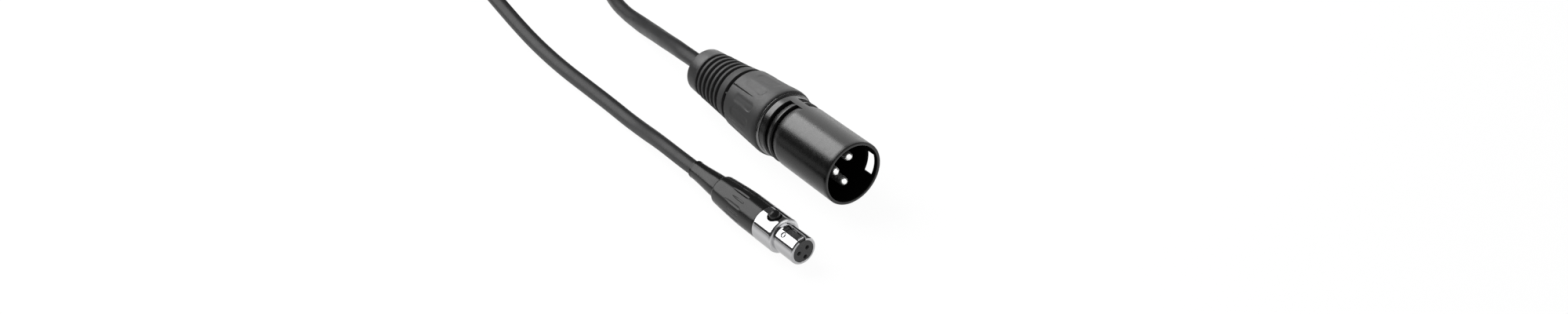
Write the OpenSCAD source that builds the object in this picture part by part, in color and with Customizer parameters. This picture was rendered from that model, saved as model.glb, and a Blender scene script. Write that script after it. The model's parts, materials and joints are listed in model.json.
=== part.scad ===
// Adapter lead: a three-pin XLR plug and a three-socket mini XLR plug on one round cable.
// Millimetres, +Z up, both plugs lying on the floor at z = 0 with their mouths towards -Y.
// Each plug is modelled along its own axis: z is the distance behind its front rim, and a
// clock angle turns clockwise from the top as its mouth is seen.

/* [XLR shell] */
// Outer radius of the metal shell
shell_r = 9.5; // [9.3:0.05:9.7]
// Length of the metal shell
shell_len = 31; // [30:0.5:33]
// Thickness of the shell round its open mouth
mouth_wall = 1; // [0.9:0.05:1.1]
// Bevel on the edges of the shell
shell_edge = 0.25; // [0.1:0.05:0.4]
// Depth of the insert's face behind the rim
insert_depth = 16; // [15:0.5:17]
// Height of the ring that stops the insert, over the bore of the mouth
stop_height = 1.1; // [1:0.05:1.3]
// Length of the ring that stops the insert
stop_len = 1; // [0.6:0.2:1.6]
// Thickness of the shell round its rear bore, which takes the insert and the bushing
seat_wall = 1.6; // [1.5:0.05:1.7]
// Start of the first ring groove behind the rim
groove_start = 23.5; // [22.5:0.5:24]
// Width of each ring groove
groove_w = 2.3; // [1.6:0.1:2.4]
// Width of the land between the two grooves
groove_land = 0.9; // [0.6:0.1:1.1]
// Depth of the ring grooves
groove_depth = 0.9; // [0.5:0.1:1]
// Width of the strip that bridges the grooves
bridge_w = 2.7; // [2:0.1:4]
// Clock angle of that strip
bridge_clock = 8; // [-20:1:30]
// Start of the latch window behind the rim
window_start = 1.5; // [1.3:0.1:3]
// Length of the latch window along the axis
window_len = 3.7; // [2.5:0.1:4.5]
// Width of the latch window
window_w = 5.8; // [4:0.1:7]
// Clock angle of the latch window, which sets the pins' places too
window_clock = 100; // [90:1:110]

/* [XLR contacts] */
// Radius of a contact pin
pin_r = 1.2; // [1.1:0.05:1.3]
// Radius of a pin's shank, which is held in the insert
shank_r = 1.5; // [1.45:0.01:1.55]
// Radius of the circle that the pins stand on
pin_circle_r = 3.85; // [3.6:0.05:4]
// Depth of the pins' tips behind the rim
pin_tip = 2.2; // [1.5:0.1:4]
// Thickness of the insert's front disc
insert_disc = 4; // [3:0.5:5]
// Radius of the insert's rear body
insert_body_r = 6.2; // [5.9:0.1:6.3]
// Length of the insert's rear body
insert_body_len = 6; // [5:0.5:6]
// Radius of a solder cup
cup_r = 1.5; // [1.4:0.05:1.6]
// Length of a solder cup behind the insert
cup_len = 2.5; // [2:0.25:3]
// Radius of the hole in a solder cup
cup_bore_r = 0.8; // [0.6:0.05:0.9]
// Width of the ground contact
ground_w = 3; // [2:0.25:4]
// Thickness of the ground contact
ground_th = 0.4; // [0.3:0.05:0.5]

/* [Grip bushing] */
// Gap between the shell and the bushing
grip_gap = 0.3; // [0.2:0.1:0.6]
// Length of the bushing's grip
grip_len = 18.3; // [17.5:0.1:20]
// Radius of the lip, the widest place of the plug
lip_r = 10.45; // [10.3:0.05:10.8]
// Radius of the lip's front face
lip_face_r = 9.7; // [9.5:0.05:9.9]
// Length of the lip's rounded front
lip_len = 2.3; // [1.5:0.1:3]
// Radius at the rear of the grip
grip_rear_r = 9.38; // [9.2:0.02:9.6]
// Bevel on the rear edge of the grip
grip_edge = 0.35; // [0.2:0.05:0.6]
// Length of the threaded spigot inside the shell
spigot_len = 6.5; // [5:0.5:6.5]
// Inner radius of the bushing
grip_bore_r = 6.6; // [6.5:0.05:6.7]
// Radius of the hole in the bushing's rear wall
neck_bore_r = 5; // [4.8:0.05:5.2]
// Thickness of the bushing's rear wall
rear_wall = 3.6; // [3:0.1:4]
// Width of the gap between the grip and the boot
boot_gap = 1.5; // [1.2:0.1:2]
// Radius of the bushing at the bottom of that gap
gap_floor_r = 7.8; // [7.5:0.1:8.1]
// Number of nubs across that gap
nub_count = 4; // [2:1:6]
// Width of a nub
nub_w = 0.9; // [0.6:0.1:1.2]
// Number of grip panels round the bushing
panel_count = 6; // [4:1:7]
// Clock angle of the middle of a grip panel
panel_clock = -68; // [-80:1:-55]
// Angle from the middle of a panel to each of its two recesses
recess_angle = 12.3; // [11:0.1:13]
// Length of a recess
recess_len = 9.2; // [7:0.2:10]
// Width of a recess
recess_w = 2.9; // [2:0.1:3]
// Corner radius of a recess
recess_corner = 1.2; // [0.5:0.1:1.4]
// Depth of a recess at its middle
recess_depth = 0.35; // [0.15:0.05:0.5]
// Start of the recesses behind the grip's front
recess_start = 4.7; // [4:0.1:6]
// Width of the score line between two panels
score_w = 0.4; // [0.2:0.05:0.6]
// Depth of a score line at its rear end
score_depth = 0.4; // [0.2:0.05:0.6]
// Start of the score lines behind the grip's front
score_start = 7.7; // [6:0.1:9]

/* [XLR boot] */
// Length of the boot behind the gap
boot_len = 21.4; // [20:0.2:24]
// Radius at the front of the boot
boot_front_r = 8.95; // [8.8:0.05:9.2]
// Radius just ahead of the end collar
boot_rear_r = 7.5; // [7.3:0.05:7.8]
// Start of the first groove behind the boot's front
rib_start = 2.9; // [2.5:0.1:3.5]
// Distance from groove to groove
rib_pitch = 2.4; // [2:0.05:2.6]
// Width of a groove
rib_groove_w = 1.15; // [0.8:0.05:1.4]
// Depth of a groove
rib_groove_depth = 0.9; // [0.5:0.05:1.2]
// Number of grooves
rib_count = 6; // [4:1:6]
// Radius at the front of the end collar
collar_r = 7.2; // [6.8:0.05:7.4]
// Radius at the rear of the end collar
collar_rear_r = 6.95; // [6.5:0.05:7.2]
// Rounding of the end collar's rear edge
collar_round = 0.9; // [0.4:0.1:1.4]
// Thickness of the flange that holds the boot in the bushing
boot_flange = 1; // [0.8:0.1:1.4]
// Radius of the hollow round the cable inside the boot
boot_hollow_r = 3.6; // [3:0.1:4]
// Depth of that hollow behind the boot's front
boot_hollow_len = 11; // [6:0.5:14]

/* [XLR cable clamp] */
// Radius of the clamp at its front
clamp_r = 6.2; // [5.8:0.1:6.3]
// Radius of the clamp at its rear
clamp_rear_r = 5; // [4.6:0.1:5.4]
// Length of the clamp
clamp_len = 10; // [8:0.5:10.5]
// Width of the four slits that let the clamp close
clamp_slit = 0.8; // [0.5:0.1:1.2]
// Length of those slits
clamp_slit_len = 6.5; // [5:0.5:7]

/* [Mini plug] */
// Outer radius of the nose
nose_r = 4; // [3.95:0.01:4.05]
// Radius of the bore in the nose
nose_bore_r = 3.45; // [3.4:0.01:3.5]
// Length of the nose
nose_len = 7.9; // [7.5:0.1:8.5]
// Outer radius of the barrel
barrel_r = 5.05; // [5:0.01:5.1]
// Length of the barrel that shows
barrel_len = 7.7; // [7.6:0.1:9]
// Rounding of the barrel's front edge
barrel_round = 0.8; // [0.5:0.05:0.9]
// Radius of the bore in the barrel
barrel_bore_r = 3.9; // [3.85:0.01:3.95]
// Thickness of the barrel's front wall
barrel_wall = 0.7; // [0.5:0.05:0.9]
// Outer radius of the sleeve that the boot slides on
tail_r = 4.4; // [4.35:0.01:4.45]
// Length of that sleeve
tail_len = 8.1; // [8:0.1:9]
// Rounding of the nose's front edge
nose_round = 0.45; // [0.3:0.05:0.55]
// Radius of the hole in the nose's front lip
nose_lip_r = 3.2; // [3.15:0.01:3.3]
// Thickness of that lip
nose_lip = 0.25; // [0.2:0.05:0.3]
// Clock angle of the latch and its slot
mini_clock = -7; // [-20:1:20]
// Width of the latch slot in the nose
slot_w = 2.4; // [2.2:0.05:2.5]
// Length of the latch slot
slot_len = 7; // [6:0.1:7.2]
// Distance of the button behind the rim
button_t = 11.5; // [11.4:0.05:11.8]
// Radius of the button's hole
button_hole_r = 2; // [1.9:0.05:2.2]
// Depth of the insert's face behind the rim
mini_insert_depth = 0.05; // [0.05:0.01:0.1]
// Length of the insert's flange
mini_flange = 2.4; // [2:0.1:3]
// Length of the insert behind its flange
mini_insert_tail = 2; // [1:0.25:3]
// Radius of the insert behind its flange
mini_insert_tail_r = 3.2; // [3:0.05:3.4]
// Radius of the circle that the sockets stand on
socket_circle_r = 1.6; // [1.55:0.01:1.65]
// Distance of that circle's centre from the plug's axis, away from the latch
socket_shift = 0.5; // [0.4:0.05:0.55]
// Angle from the latch to that circle's own top
socket_turn = -11; // [-13:1:-8]
// Radius of the hole in the insert's face and of the socket's bore behind it
socket_bore_r = 0.55; // [0.5:0.01:0.6]
// Radius of the funnel that leads into a socket
socket_entry_r = 0.8; // [0.7:0.05:0.85]
// Depth of that funnel
socket_entry = 0.4; // [0.3:0.05:0.6]
// Outer radius of a socket
socket_r = 0.85; // [0.75:0.01:0.87]
// Depth of a socket's mouth behind the rim
socket_start = 1.4; // [1:0.1:2]
// Depth of a socket's bore
socket_bore_len = 5; // [4:0.25:6]
// Length of a socket with its solder end
socket_len = 12; // [11:0.25:12.5]
// Radius of the lock screw
screw_r = 0.9; // [0.7:0.05:0.92]
// Distance of the lock screw behind the rim
screw_t = 5.4; // [5:0.1:5.8]
// Angle from the latch to the lock screw
screw_angle = -34; // [-45:1:-34]
// Length of the lock screw
screw_len = 0.7; // [0.5:0.1:0.7]

/* [Mini latch] */
// Distance of the latch's front behind the rim
latch_start = 0.55; // [0.5:0.05:0.65]
// Width of the latch
latch_w = 1.8; // [1.6:0.05:1.85]
// Height of the latch's underside over the plug's axis
latch_low = 2.6; // [2.55:0.01:2.65]
// Thickness of the steel tongue
latch_th = 0.35; // [0.3:0.01:0.37]
// Thickness of the plastic arm on the tongue
arm_th = 0.3; // [0.2:0.01:0.32]
// Height of the hook's top over the plug's axis
hook_top = 3.85; // [3.6:0.05:3.87]
// Length of the hook along the plug
hook_len = 0.8; // [0.6:0.05:1]
// Distance of the latch pin behind the rim
latch_pin_t = 21; // [20.8:0.1:21.2]
// Radius of the latch pin
latch_pin_r = 0.4; // [0.3:0.01:0.42]
// Half the length of the latch pin
latch_pin_half = 2.15; // [1.9:0.05:2.2]
// Radius of the boss round the latch pin
latch_boss_r = 0.75; // [0.7:0.01:0.8]
// Radius of the button
button_r = 1.5; // [1.4:0.05:1.6]
// Height of the button's shoulder over the plug's axis
button_shoulder = 5.35; // [5.2:0.05:5.5]
// Height of the button's top over the plug's axis
button_top = 6.7; // [6.4:0.05:6.9]

/* [Mini boot] */
// Length of the boot
mini_boot_len = 20.15; // [19:0.05:21]
// Radius halfway along the boot
mini_boot_mid_r = 4.95; // [4.9:0.01:5]
// Radius at the boot's rear shoulder
mini_boot_rear_r = 4.3; // [4.1:0.05:4.5]
// Rounding of that shoulder
mini_boot_round = 0.9; // [0.5:0.1:1.2]
// Depth of the boot's wide bore
mini_boot_bore_len = 12.6; // [12.4:0.1:13.5]
// Number of grip grooves, long and short by turns
leaf_count = 16; // [10:2:18]
// Start of the grip grooves behind the boot's front
leaf_start = 6.45; // [5:0.05:8]
// Angle that the grooves are turned from the latch
leaf_turn = -16.25; // [-22.5:0.25:22.5]
// Length of a long groove
leaf_long = 7.1; // [6:0.1:8]
// Length of a short groove
leaf_short = 5.3; // [4:0.1:6]
// Width of a groove
leaf_w = 0.8; // [0.5:0.05:0.9]
// Depth of a groove
leaf_depth = 0.2; // [0.15:0.05:0.4]
// Radius of the sleeve's part inside the boot
sleeve_root_r = 2.95; // [2.9:0.01:3]
// Length of the sleeve's part inside the boot
sleeve_root_len = 6.8; // [5:0.1:6.9]
// Radius of the sleeve just behind the boot
sleeve_r = 3.4; // [3.2:0.05:3.6]
// Length of the sleeve behind the boot
sleeve_len = 12.8; // [12:0.1:16]
// Radius at the sleeve's narrowest place
sleeve_waist_r = 2.75; // [2.75:0.01:3]
// Radius of the bead at the sleeve's end
sleeve_bead_r = 2.88; // [2.85:0.01:3.1]
// Length of that bead
sleeve_bead_len = 1.9; // [1.5:0.1:3]
// Radius of the crimp ring on the cable
crimp_r = 3.1; // [2.9:0.05:3.3]
// Length of the crimp ring
crimp_len = 3.1; // [2:0.1:3.3]
// Thickness of the crimp ring's flange
crimp_flange = 0.85; // [0.6:0.05:1]

/* [Cable] */
// Diameter of the cable
cable_d = 4.8; // [4.4:0.1:4.8]
// Radius of an insulated wire in the XLR plug
wire_r = 0.6; // [0.5:0.05:0.65]
// Radius of an insulated wire in the mini plug
mini_wire_r = 0.45; // [0.35:0.05:0.45]
// Length of straight cable behind each boot
straight_len = 8; // [8:0.5:9]

/* [Coil] */
// Radius at the middle of the coil's turns
coil_r = 25.6; // [24:0.2:27]
// Gap between neighbouring turns
coil_gap = 0.6; // [0.5:0.05:1]
// Number of layers in the coil
coil_layers = 4; // [2:2:4]
// Number of turns in the coil
coil_turns = 7.5; // [3.5:1:7.5]
// Width of the tie round the coil
tie_w = 4; // [3:0.5:8]
// Thickness of the tie
tie_th = 0.5; // [0.3:0.05:0.8]
// Radius of the tie's corners
tie_corner = 1.6; // [1:0.1:2]

/* [Placement] */
// Distance between the plugs' axes at the mini plug's mouth
plug_gap = 27.5; // [26:0.5:32]
// Distance that the mini plug's mouth lies ahead of the XLR plug's
mini_lead = 14.5; // [10:0.5:20]
// Angle that the mini plug is turned inwards
mini_yaw = 1.7; // [0:0.1:3]

/* [Hidden] */
$fn = 64;
// Clearance between pieces that move or are pressed together
slip = 0.05;
// Clearance between pieces that only stand together
free = 0.1;
// Overshoot of a cut
eps = 1;

cable_r = cable_d / 2;
cable_bore_r = cable_r + slip;

// Bores of the XLR shell
cavity_r = shell_r - mouth_wall;
seat_r = shell_r - seat_wall;
stop_r = cavity_r - stop_height;

// Places along the XLR plug
grip_start = shell_len + grip_gap;
grip_end = grip_start + grip_len;
spigot_start = grip_start - grip_gap - spigot_len;
boot_start = grip_end + boot_gap;
boss_end = boot_start - free - slip;
wall_start = boss_end + slip - rear_wall - boot_gap + free;
xlr_len = boot_start + boot_len;
insert_back = insert_depth + insert_disc + insert_body_len;
cup_back = insert_back + cup_len;
flange_end = wall_start - 2 * free;
clamp_back = flange_end - boot_flange - 2 * free;
clamp_start = clamp_back - clamp_len;
jacket_start = clamp_start - 1;
xlr_exit = xlr_len + straight_len;
grip_taper = atan((lip_r - grip_rear_r) / (grip_len - lip_len));
pin_clocks = [window_clock - 90, window_clock + 90, window_clock + 180];

// Places along the mini plug
barrel_end = nose_len + barrel_len;
tail_end = barrel_end + tail_len;
flange_start = nose_len + barrel_wall;
mini_insert_back = flange_start + mini_flange + mini_insert_tail;
mini_boot_start = barrel_end + slip;
mini_boot_end = mini_boot_start + mini_boot_len;
leaf_mid_t = mini_boot_start + leaf_start + leaf_long / 2;
mini_boot_taper = atan((mini_boot_mid_r - mini_boot_rear_r) / (mini_boot_len / 2));
mini_len = mini_boot_end + sleeve_len;
mini_exit = mini_len + straight_len;
socket_back = socket_start + socket_len;
mini_jacket_start = tail_end - 0.6;
latch_floor = 1.85;
latch_top = latch_low + latch_th;
socket_top = mini_clock + socket_turn;
function socket_place(a) =
    let (x = socket_circle_r * sin(a) - socket_shift * sin(socket_top),
         y = socket_circle_r * cos(a) - socket_shift * cos(socket_top)) [norm([x, y]), atan2(x, y)];
socket_places = [socket_place(socket_top + 60), socket_place(socket_top + 180), socket_place(socket_top - 60)];

// The plugs' box is centred on the origin and stands on the floor
mini_outline = [[nose_len, nose_r], [barrel_end, barrel_r], [mini_boot_start + mini_boot_len / 2, mini_boot_mid_r]];
mini_reach = max([for (p = mini_outline) p[0] * sin(mini_yaw) + p[1] * cos(mini_yaw)]);
xlr_x = (plug_gap + mini_reach - lip_r) / 2;
xlr_y = (mini_lead + nose_r * sin(mini_yaw) - xlr_len) / 2;
mini_x = xlr_x - plug_gap;
mini_y = xlr_y - mini_lead;

// The coil lies on the floor behind the plugs
coil_x = 8;
coil_y = 174.5;
coil_pitch = cable_d + coil_gap;
coil_lift = tie_th + free;
layer_turns = 2;
loop_rings = 24;
coil_sides = 6;
run_sides = 10;
// Share of a turn, each side of a reversal, in which the coil climbs a layer
climb = 0.25;

// Route of the XLR plug's cable, between its straight end and the coil
xlr_route = [
    [11.6, 57, 10.1], [12.3, 63, 9.3], [13.5, 71, 7.8], [15.1, 79.5, 6], [16.6, 88, 4.2],
    [17.7, 96, 3], [18.3, 104, 2.5], [19.6, 113, 2.4], [22.4, 123, 2.4], [26.8, 133, 2.4],
    [31.6, 143, 2.4], [35.8, 152.5, 2.5], [38.3, 161.5, 2.8]];
// Route of the mini plug's cable, between the coil and its straight end
mini_route = [
    [-20.1, 161, 18.6], [-19.9, 151, 16.7], [-19.6, 141, 14.1], [-19.2, 131, 11.2], [-18.8, 121, 8.4],
    [-18.5, 111, 6], [-18.2, 101, 4.1], [-17.9, 90, 2.9], [-17.6, 79, 2.4], [-17.3, 67, 2.4],
    [-17, 55, 2.4], [-16.9, 44, 2.4], [-16.9, 38, 2.6], [-17.2, 32, 3.3], [-17.6, 26, 4.2], [-17.8, 20, 4.9]];

// ---------------------------------------------------------------- shared shapes

// Puts +X of its children outwards at a clock angle of the plug
module clock(angle) rotate([0, 0, 90 + angle]) children();

// Puts a plug's own axis on the floor, with its mouth towards -Y and its +Y up
module lay_down() rotate([90, 0, 180]) children();

module at_xlr() translate([xlr_x, xlr_y, lip_r]) lay_down() children();

module at_mini() translate([mini_x, mini_y, barrel_r]) rotate([0, 0, mini_yaw]) lay_down() children();

// A ring or tube from z = a to z = b
module tube(outer, inner, a, b) {
    translate([0, 0, a]) difference() {
        cylinder(r = outer, h = b - a);
        translate([0, 0, -eps]) cylinder(r = inner, h = b - a + 2 * eps);
    }
}

// Rod from z = a to z = b
module rod(r, a, b) translate([0, 0, a]) cylinder(r = r, h = b - a);

// Rod between two points that lie in the plane through the axis at a clock angle
module slanted_rod(r, angle, from_r, from_z, to_r, to_z) {
    rise = to_z - from_z;
    lean = atan((from_r - to_r) / rise);
    clock(angle) translate([from_r, 0, from_z]) rotate([0, -lean, 0]) cylinder(r = r, h = rise / cos(lean));
}

// Flat shape with round corners, for a recess
module round_box(l, w, corner) {
    square([l - 2 * corner, w], center = true);
    square([l, w - 2 * corner], center = true);
    for (x = [-1, 1], y = [-1, 1]) translate([x * (l / 2 - corner), y * (w / 2 - corner)]) circle(r = corner);
}

// Points on an elliptic arc from [r0, z0], square to the axis, to [r1, z1], along it
function lip_arc(r0, z0, r1, z1, steps) = [
    for (i = [0 : steps]) [r0 + (r1 - r0) * sin(90 * i / steps), z0 + (z1 - z0) * (1 - cos(90 * i / steps))]];

// Contact with a domed tip, a hole in its rear end and its axis on a pin circle
module contact(circle_r, angle) clock(angle) translate([circle_r, 0, 0]) children();

// ---------------------------------------------------------------- XLR plug

module xlr_shell() color("#26272a") at_xlr() difference() {
    rotate_extrude() polygon([
        [cavity_r + shell_edge, 0], [shell_r - shell_edge, 0], [shell_r, shell_edge],
        [shell_r, shell_len - shell_edge], [shell_r - shell_edge, shell_len], [seat_r, shell_len],
        [seat_r, insert_depth], [stop_r, insert_depth], [stop_r, insert_depth - stop_len],
        [cavity_r, insert_depth - stop_len], [cavity_r, shell_edge]]);
    for (i = [0, 1]) difference() {
        start = groove_start + i * (groove_w + groove_land);
        tube(shell_r + eps, shell_r - groove_depth, start, start + groove_w);
        clock(bridge_clock) translate([0, -bridge_w / 2, start - eps])
            cube([shell_r + 2 * eps, bridge_w, groove_w + 2 * eps]);
    }
    clock(window_clock) translate([cavity_r - eps, -window_w / 2, window_start])
        cube([shell_r - cavity_r + 2 * eps, window_w, window_len]);
}

module xlr_insert() color("#17181a") at_xlr() difference() {
    union() {
        rod(seat_r - slip, insert_depth, insert_depth + insert_disc);
        rod(insert_body_r, insert_depth + insert_disc, insert_back);
    }
    for (angle = pin_clocks) contact(pin_circle_r, angle) rod(shank_r + slip, insert_depth - eps, insert_back + eps);
    clock(window_clock) translate([seat_r - 2 * ground_th - free, -ground_w / 2 - free, insert_depth + eps])
        cube([seat_r, ground_w + 2 * free, insert_disc]);
}

module xlr_pin(i) color("#d8d9db") at_xlr() contact(pin_circle_r, pin_clocks[i]) difference() {
    union() {
        translate([0, 0, pin_tip + pin_r]) sphere(r = pin_r);
        rod(pin_r, pin_tip + pin_r, insert_depth + 2 * free);
        rod(shank_r, insert_depth + free, insert_back + free);
        rod(cup_r, insert_back + free, cup_back);
    }
    rod(cup_bore_r, insert_back + 2 * free + slip, cup_back + eps);
}

// Spring strip between the insert and the shell, with a tail for the shield
module xlr_ground_contact() color("#c9b27a") at_xlr() clock(window_clock) {
    strip_r = seat_r - 1.5 * ground_th - free;
    translate([strip_r - ground_th / 2, -ground_w / 2, insert_depth + eps + free])
        cube([ground_th, ground_w, insert_disc - eps - free]);
    translate([insert_body_r + slip, -ground_w / 2, insert_depth + insert_disc])
        cube([strip_r + ground_th / 2 - insert_body_r - slip, ground_w, ground_th]);
}

module xlr_cable_clamp() color("#3a3b3e") at_xlr() difference() {
    translate([0, 0, clamp_start]) cylinder(r1 = clamp_r, r2 = clamp_rear_r, h = clamp_len);
    rod(cable_bore_r, clamp_start - eps, clamp_back + eps);
    for (angle = [0, 90]) rotate([0, 0, angle]) translate([-clamp_r - eps, -clamp_slit / 2, clamp_back - clamp_slit_len])
        cube([2 * clamp_r + 2 * eps, clamp_slit, clamp_slit_len + eps]);
}

// Radius of the grip at a distance behind its front, over the tapered part
function grip_r_at(t) = lip_r - (t - lip_len) * tan(grip_taper);

module grip_recesses() {
    mid_t = recess_start + recess_len / 2;
    for (i = [0 : panel_count - 1], side = [-1, 1])
        clock(panel_clock + i * 360 / panel_count + side * recess_angle)
            translate([grip_r_at(mid_t) - recess_depth, 0, grip_start + mid_t])
                rotate([0, 90 - grip_taper, 0]) linear_extrude(eps) round_box(recess_len, recess_w, recess_corner);
}

module grip_scores() {
    run = grip_len - score_start;
    lean = grip_taper + atan(score_depth / run);
    for (i = [0 : panel_count - 1]) clock(panel_clock + (i + 0.5) * 360 / panel_count)
        translate([grip_r_at(score_start), -score_w / 2, grip_start + score_start])
            rotate([0, -lean, 0]) cube([eps, score_w, run + eps]);
}

module xlr_bushing() color("#2e2f31") at_xlr() {
    difference() {
        rotate_extrude() polygon(concat(
            [[grip_bore_r, spigot_start], [seat_r - slip, spigot_start], [seat_r - slip, grip_start]],
            lip_arc(lip_face_r, grip_start, lip_r, grip_start + lip_len, 6),
            [[grip_rear_r, grip_end - grip_edge], [grip_rear_r - grip_edge, grip_end], [gap_floor_r, grip_end],
             [gap_floor_r, boss_end], [neck_bore_r, boss_end], [neck_bore_r, wall_start], [grip_bore_r, wall_start]]));
        grip_recesses();
        grip_scores();
    }
    for (i = [0 : nub_count - 1]) clock(-60 + i * 360 / nub_count)
        translate([gap_floor_r - free, -nub_w / 2, grip_end - free])
            cube([grip_rear_r - grip_edge - gap_floor_r - free, nub_w, boss_end - grip_end + free]);
}

// Radius of the boot's ribbed part at a distance behind its front
function boot_r_at(t) = boot_front_r + (boot_rear_r - boot_front_r) * t / (rib_start + rib_count * rib_pitch);

module xlr_boot() color("#3b3c3f") at_xlr() {
    collar_t = rib_start + (rib_count - 1) * rib_pitch + rib_groove_w;
    ribs = [for (i = [0 : rib_count - 1])
        let (a = rib_start + i * rib_pitch, b = a + rib_groove_w, deep = boot_r_at(b) - rib_groove_depth)
        each [[boot_r_at(a), boot_start + a], [deep, boot_start + a], [deep, boot_start + b],
              [i == rib_count - 1 ? collar_r : boot_r_at(b), boot_start + b]]];
    collar = [for (i = [0 : 5]) [
        collar_rear_r - collar_round * (1 - cos(18 * i)),
        xlr_len - collar_round * (1 - sin(18 * i))]];
    rotate_extrude() polygon(concat(
        [[boot_hollow_r, flange_end - boot_flange], [clamp_r, flange_end - boot_flange], [clamp_r, flange_end],
         [neck_bore_r - slip, flange_end], [neck_bore_r - slip, boot_start], [boot_front_r, boot_start]],
        ribs, collar,
        [[cable_bore_r, xlr_len], [cable_bore_r, boot_start + boot_hollow_len],
         [boot_hollow_r, boot_start + boot_hollow_len]]));
}

module xlr_wire(i) color(["#b03030", "#d8d8d8", "#b87a4a"][i]) at_xlr()
    slanted_rod(wire_r, pin_clocks[i], pin_circle_r, cup_back + 2 * free, 1.2, jacket_start - 4 * free);

module xlr_jacket() color("#1d1e20") at_xlr() rod(cable_r, jacket_start, xlr_exit);

// ---------------------------------------------------------------- mini plug

module mini_barrel() color("#c4c6c9") at_mini() difference() {
    rotate_extrude() polygon(concat(
        [[nose_bore_r, nose_lip], [nose_lip_r, nose_lip], [nose_lip_r, 0]],
        lip_arc(nose_r - nose_round, 0, nose_r, nose_round, 5),
        [[nose_r, nose_len]],
        lip_arc(barrel_r - barrel_round, nose_len, barrel_r, nose_len + barrel_round, 6),
        [[barrel_r, barrel_end], [tail_r, barrel_end], [tail_r, tail_end], [barrel_bore_r, tail_end],
         [barrel_bore_r, flange_start], [nose_bore_r, flange_start]]));
    clock(mini_clock) {
        translate([0, -slot_w / 2, -eps]) cube([nose_r + eps, slot_w, slot_len + eps]);
        translate([0, 0, button_t]) rotate([0, 90, 0]) cylinder(r = button_hole_r, h = barrel_r + eps);
    }
    clock(mini_clock + screw_angle) translate([0, 0, screw_t]) rotate([0, 90, 0])
        cylinder(r = screw_r + slip, h = nose_r + eps);
}

module mini_insert() color("#47484a") at_mini() difference() {
    union() {
        rod(nose_lip_r - slip, mini_insert_depth, nose_lip + 2 * slip);
        rod(nose_bore_r - slip, nose_lip + slip, flange_start);
        rod(barrel_bore_r - slip, flange_start + slip, flange_start + mini_flange);
        rod(mini_insert_tail_r, flange_start, mini_insert_back);
    }
    for (place = socket_places) contact(place[0], place[1]) {
        rod(socket_bore_r, 0, socket_start + eps);
        translate([0, 0, mini_insert_depth - eps])
            cylinder(r1 = socket_entry_r, r2 = socket_bore_r, h = socket_entry + eps);
        rod(socket_r + slip / 2, socket_start, mini_insert_back + eps);
    }
    clock(mini_clock) {
        translate([latch_floor, -slot_w / 2, latch_start - slip]) cube([barrel_bore_r, slot_w, mini_insert_back]);
        translate([latch_low - slip, -slot_w / 2, -eps]) cube([barrel_bore_r, slot_w, latch_start]);
        translate([latch_low - 3 * free, 0, button_t]) rotate([0, 90, 0])
            cylinder(r = button_r + 3 * free, h = barrel_bore_r);
    }
    clock(mini_clock + screw_angle) translate([nose_r - screw_len - 5 * slip, 0, screw_t]) rotate([0, 90, 0])
        cylinder(r = screw_r + slip, h = nose_r);
}

module mini_socket(i) color("#b99a52") at_mini() contact(socket_places[i][0], socket_places[i][1]) difference() {
    rod(socket_r, socket_start, socket_back);
    rod(socket_bore_r, socket_start - eps, socket_start + socket_bore_len);
}

module mini_latch() color("#b9bbbe") at_mini() clock(mini_clock) {
    translate([latch_low, -latch_w / 2, latch_start]) cube([hook_top - latch_low, latch_w, hook_len]);
    difference() {
        union() {
            translate([latch_low, -latch_w / 2, latch_start]) cube([latch_th, latch_w, latch_pin_t - latch_start]);
            translate([latch_low + latch_pin_r / 2, latch_w / 2, latch_pin_t]) rotate([90, 0, 0])
                cylinder(r = latch_boss_r, h = latch_w);
        }
        translate([latch_low + latch_pin_r / 2, latch_w, latch_pin_t]) rotate([90, 0, 0])
            cylinder(r = latch_pin_r + slip, h = 2 * latch_w);
    }
}

module mini_button() color("#1f2022") at_mini() clock(mini_clock) {
    dome = [for (i = [0 : 8]) [
        button_r * cos(90 * i / 8),
        button_shoulder + (button_top - button_shoulder) * sin(90 * i / 8)]];
    translate([latch_top, -latch_w / 2, latch_start + hook_len + free])
        cube([arm_th, latch_w, button_t - latch_start - hook_len]);
    translate([0, 0, button_t]) rotate([0, 90, 0]) rotate_extrude()
        polygon(concat([[0, latch_top], [button_r, latch_top]], dome));
}

module mini_latch_pin() color("#b9bbbe") at_mini() clock(mini_clock)
    translate([latch_low + latch_pin_r / 2, latch_pin_half, latch_pin_t]) rotate([90, 0, 0])
        cylinder(r = latch_pin_r, h = 2 * latch_pin_half);

module mini_lock_screw() color("#9a9c9f") at_mini() clock(mini_clock + screw_angle)
    translate([nose_r - screw_len - 4 * slip, 0, screw_t]) rotate([0, 90, 0]) difference() {
        cylinder(r = screw_r, h = screw_len);
        translate([0, 0, screw_len - 0.4]) cylinder(r = screw_r / 2, h = eps, $fn = 6);
    }

module mini_cable_clamp() color("#a9abae") at_mini() {
    tube(tail_r - slip, cable_bore_r, tail_end + slip, tail_end + slip + crimp_flange);
    tube(crimp_r, cable_bore_r, tail_end + crimp_flange, tail_end + crimp_flange + crimp_len);
}

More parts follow.
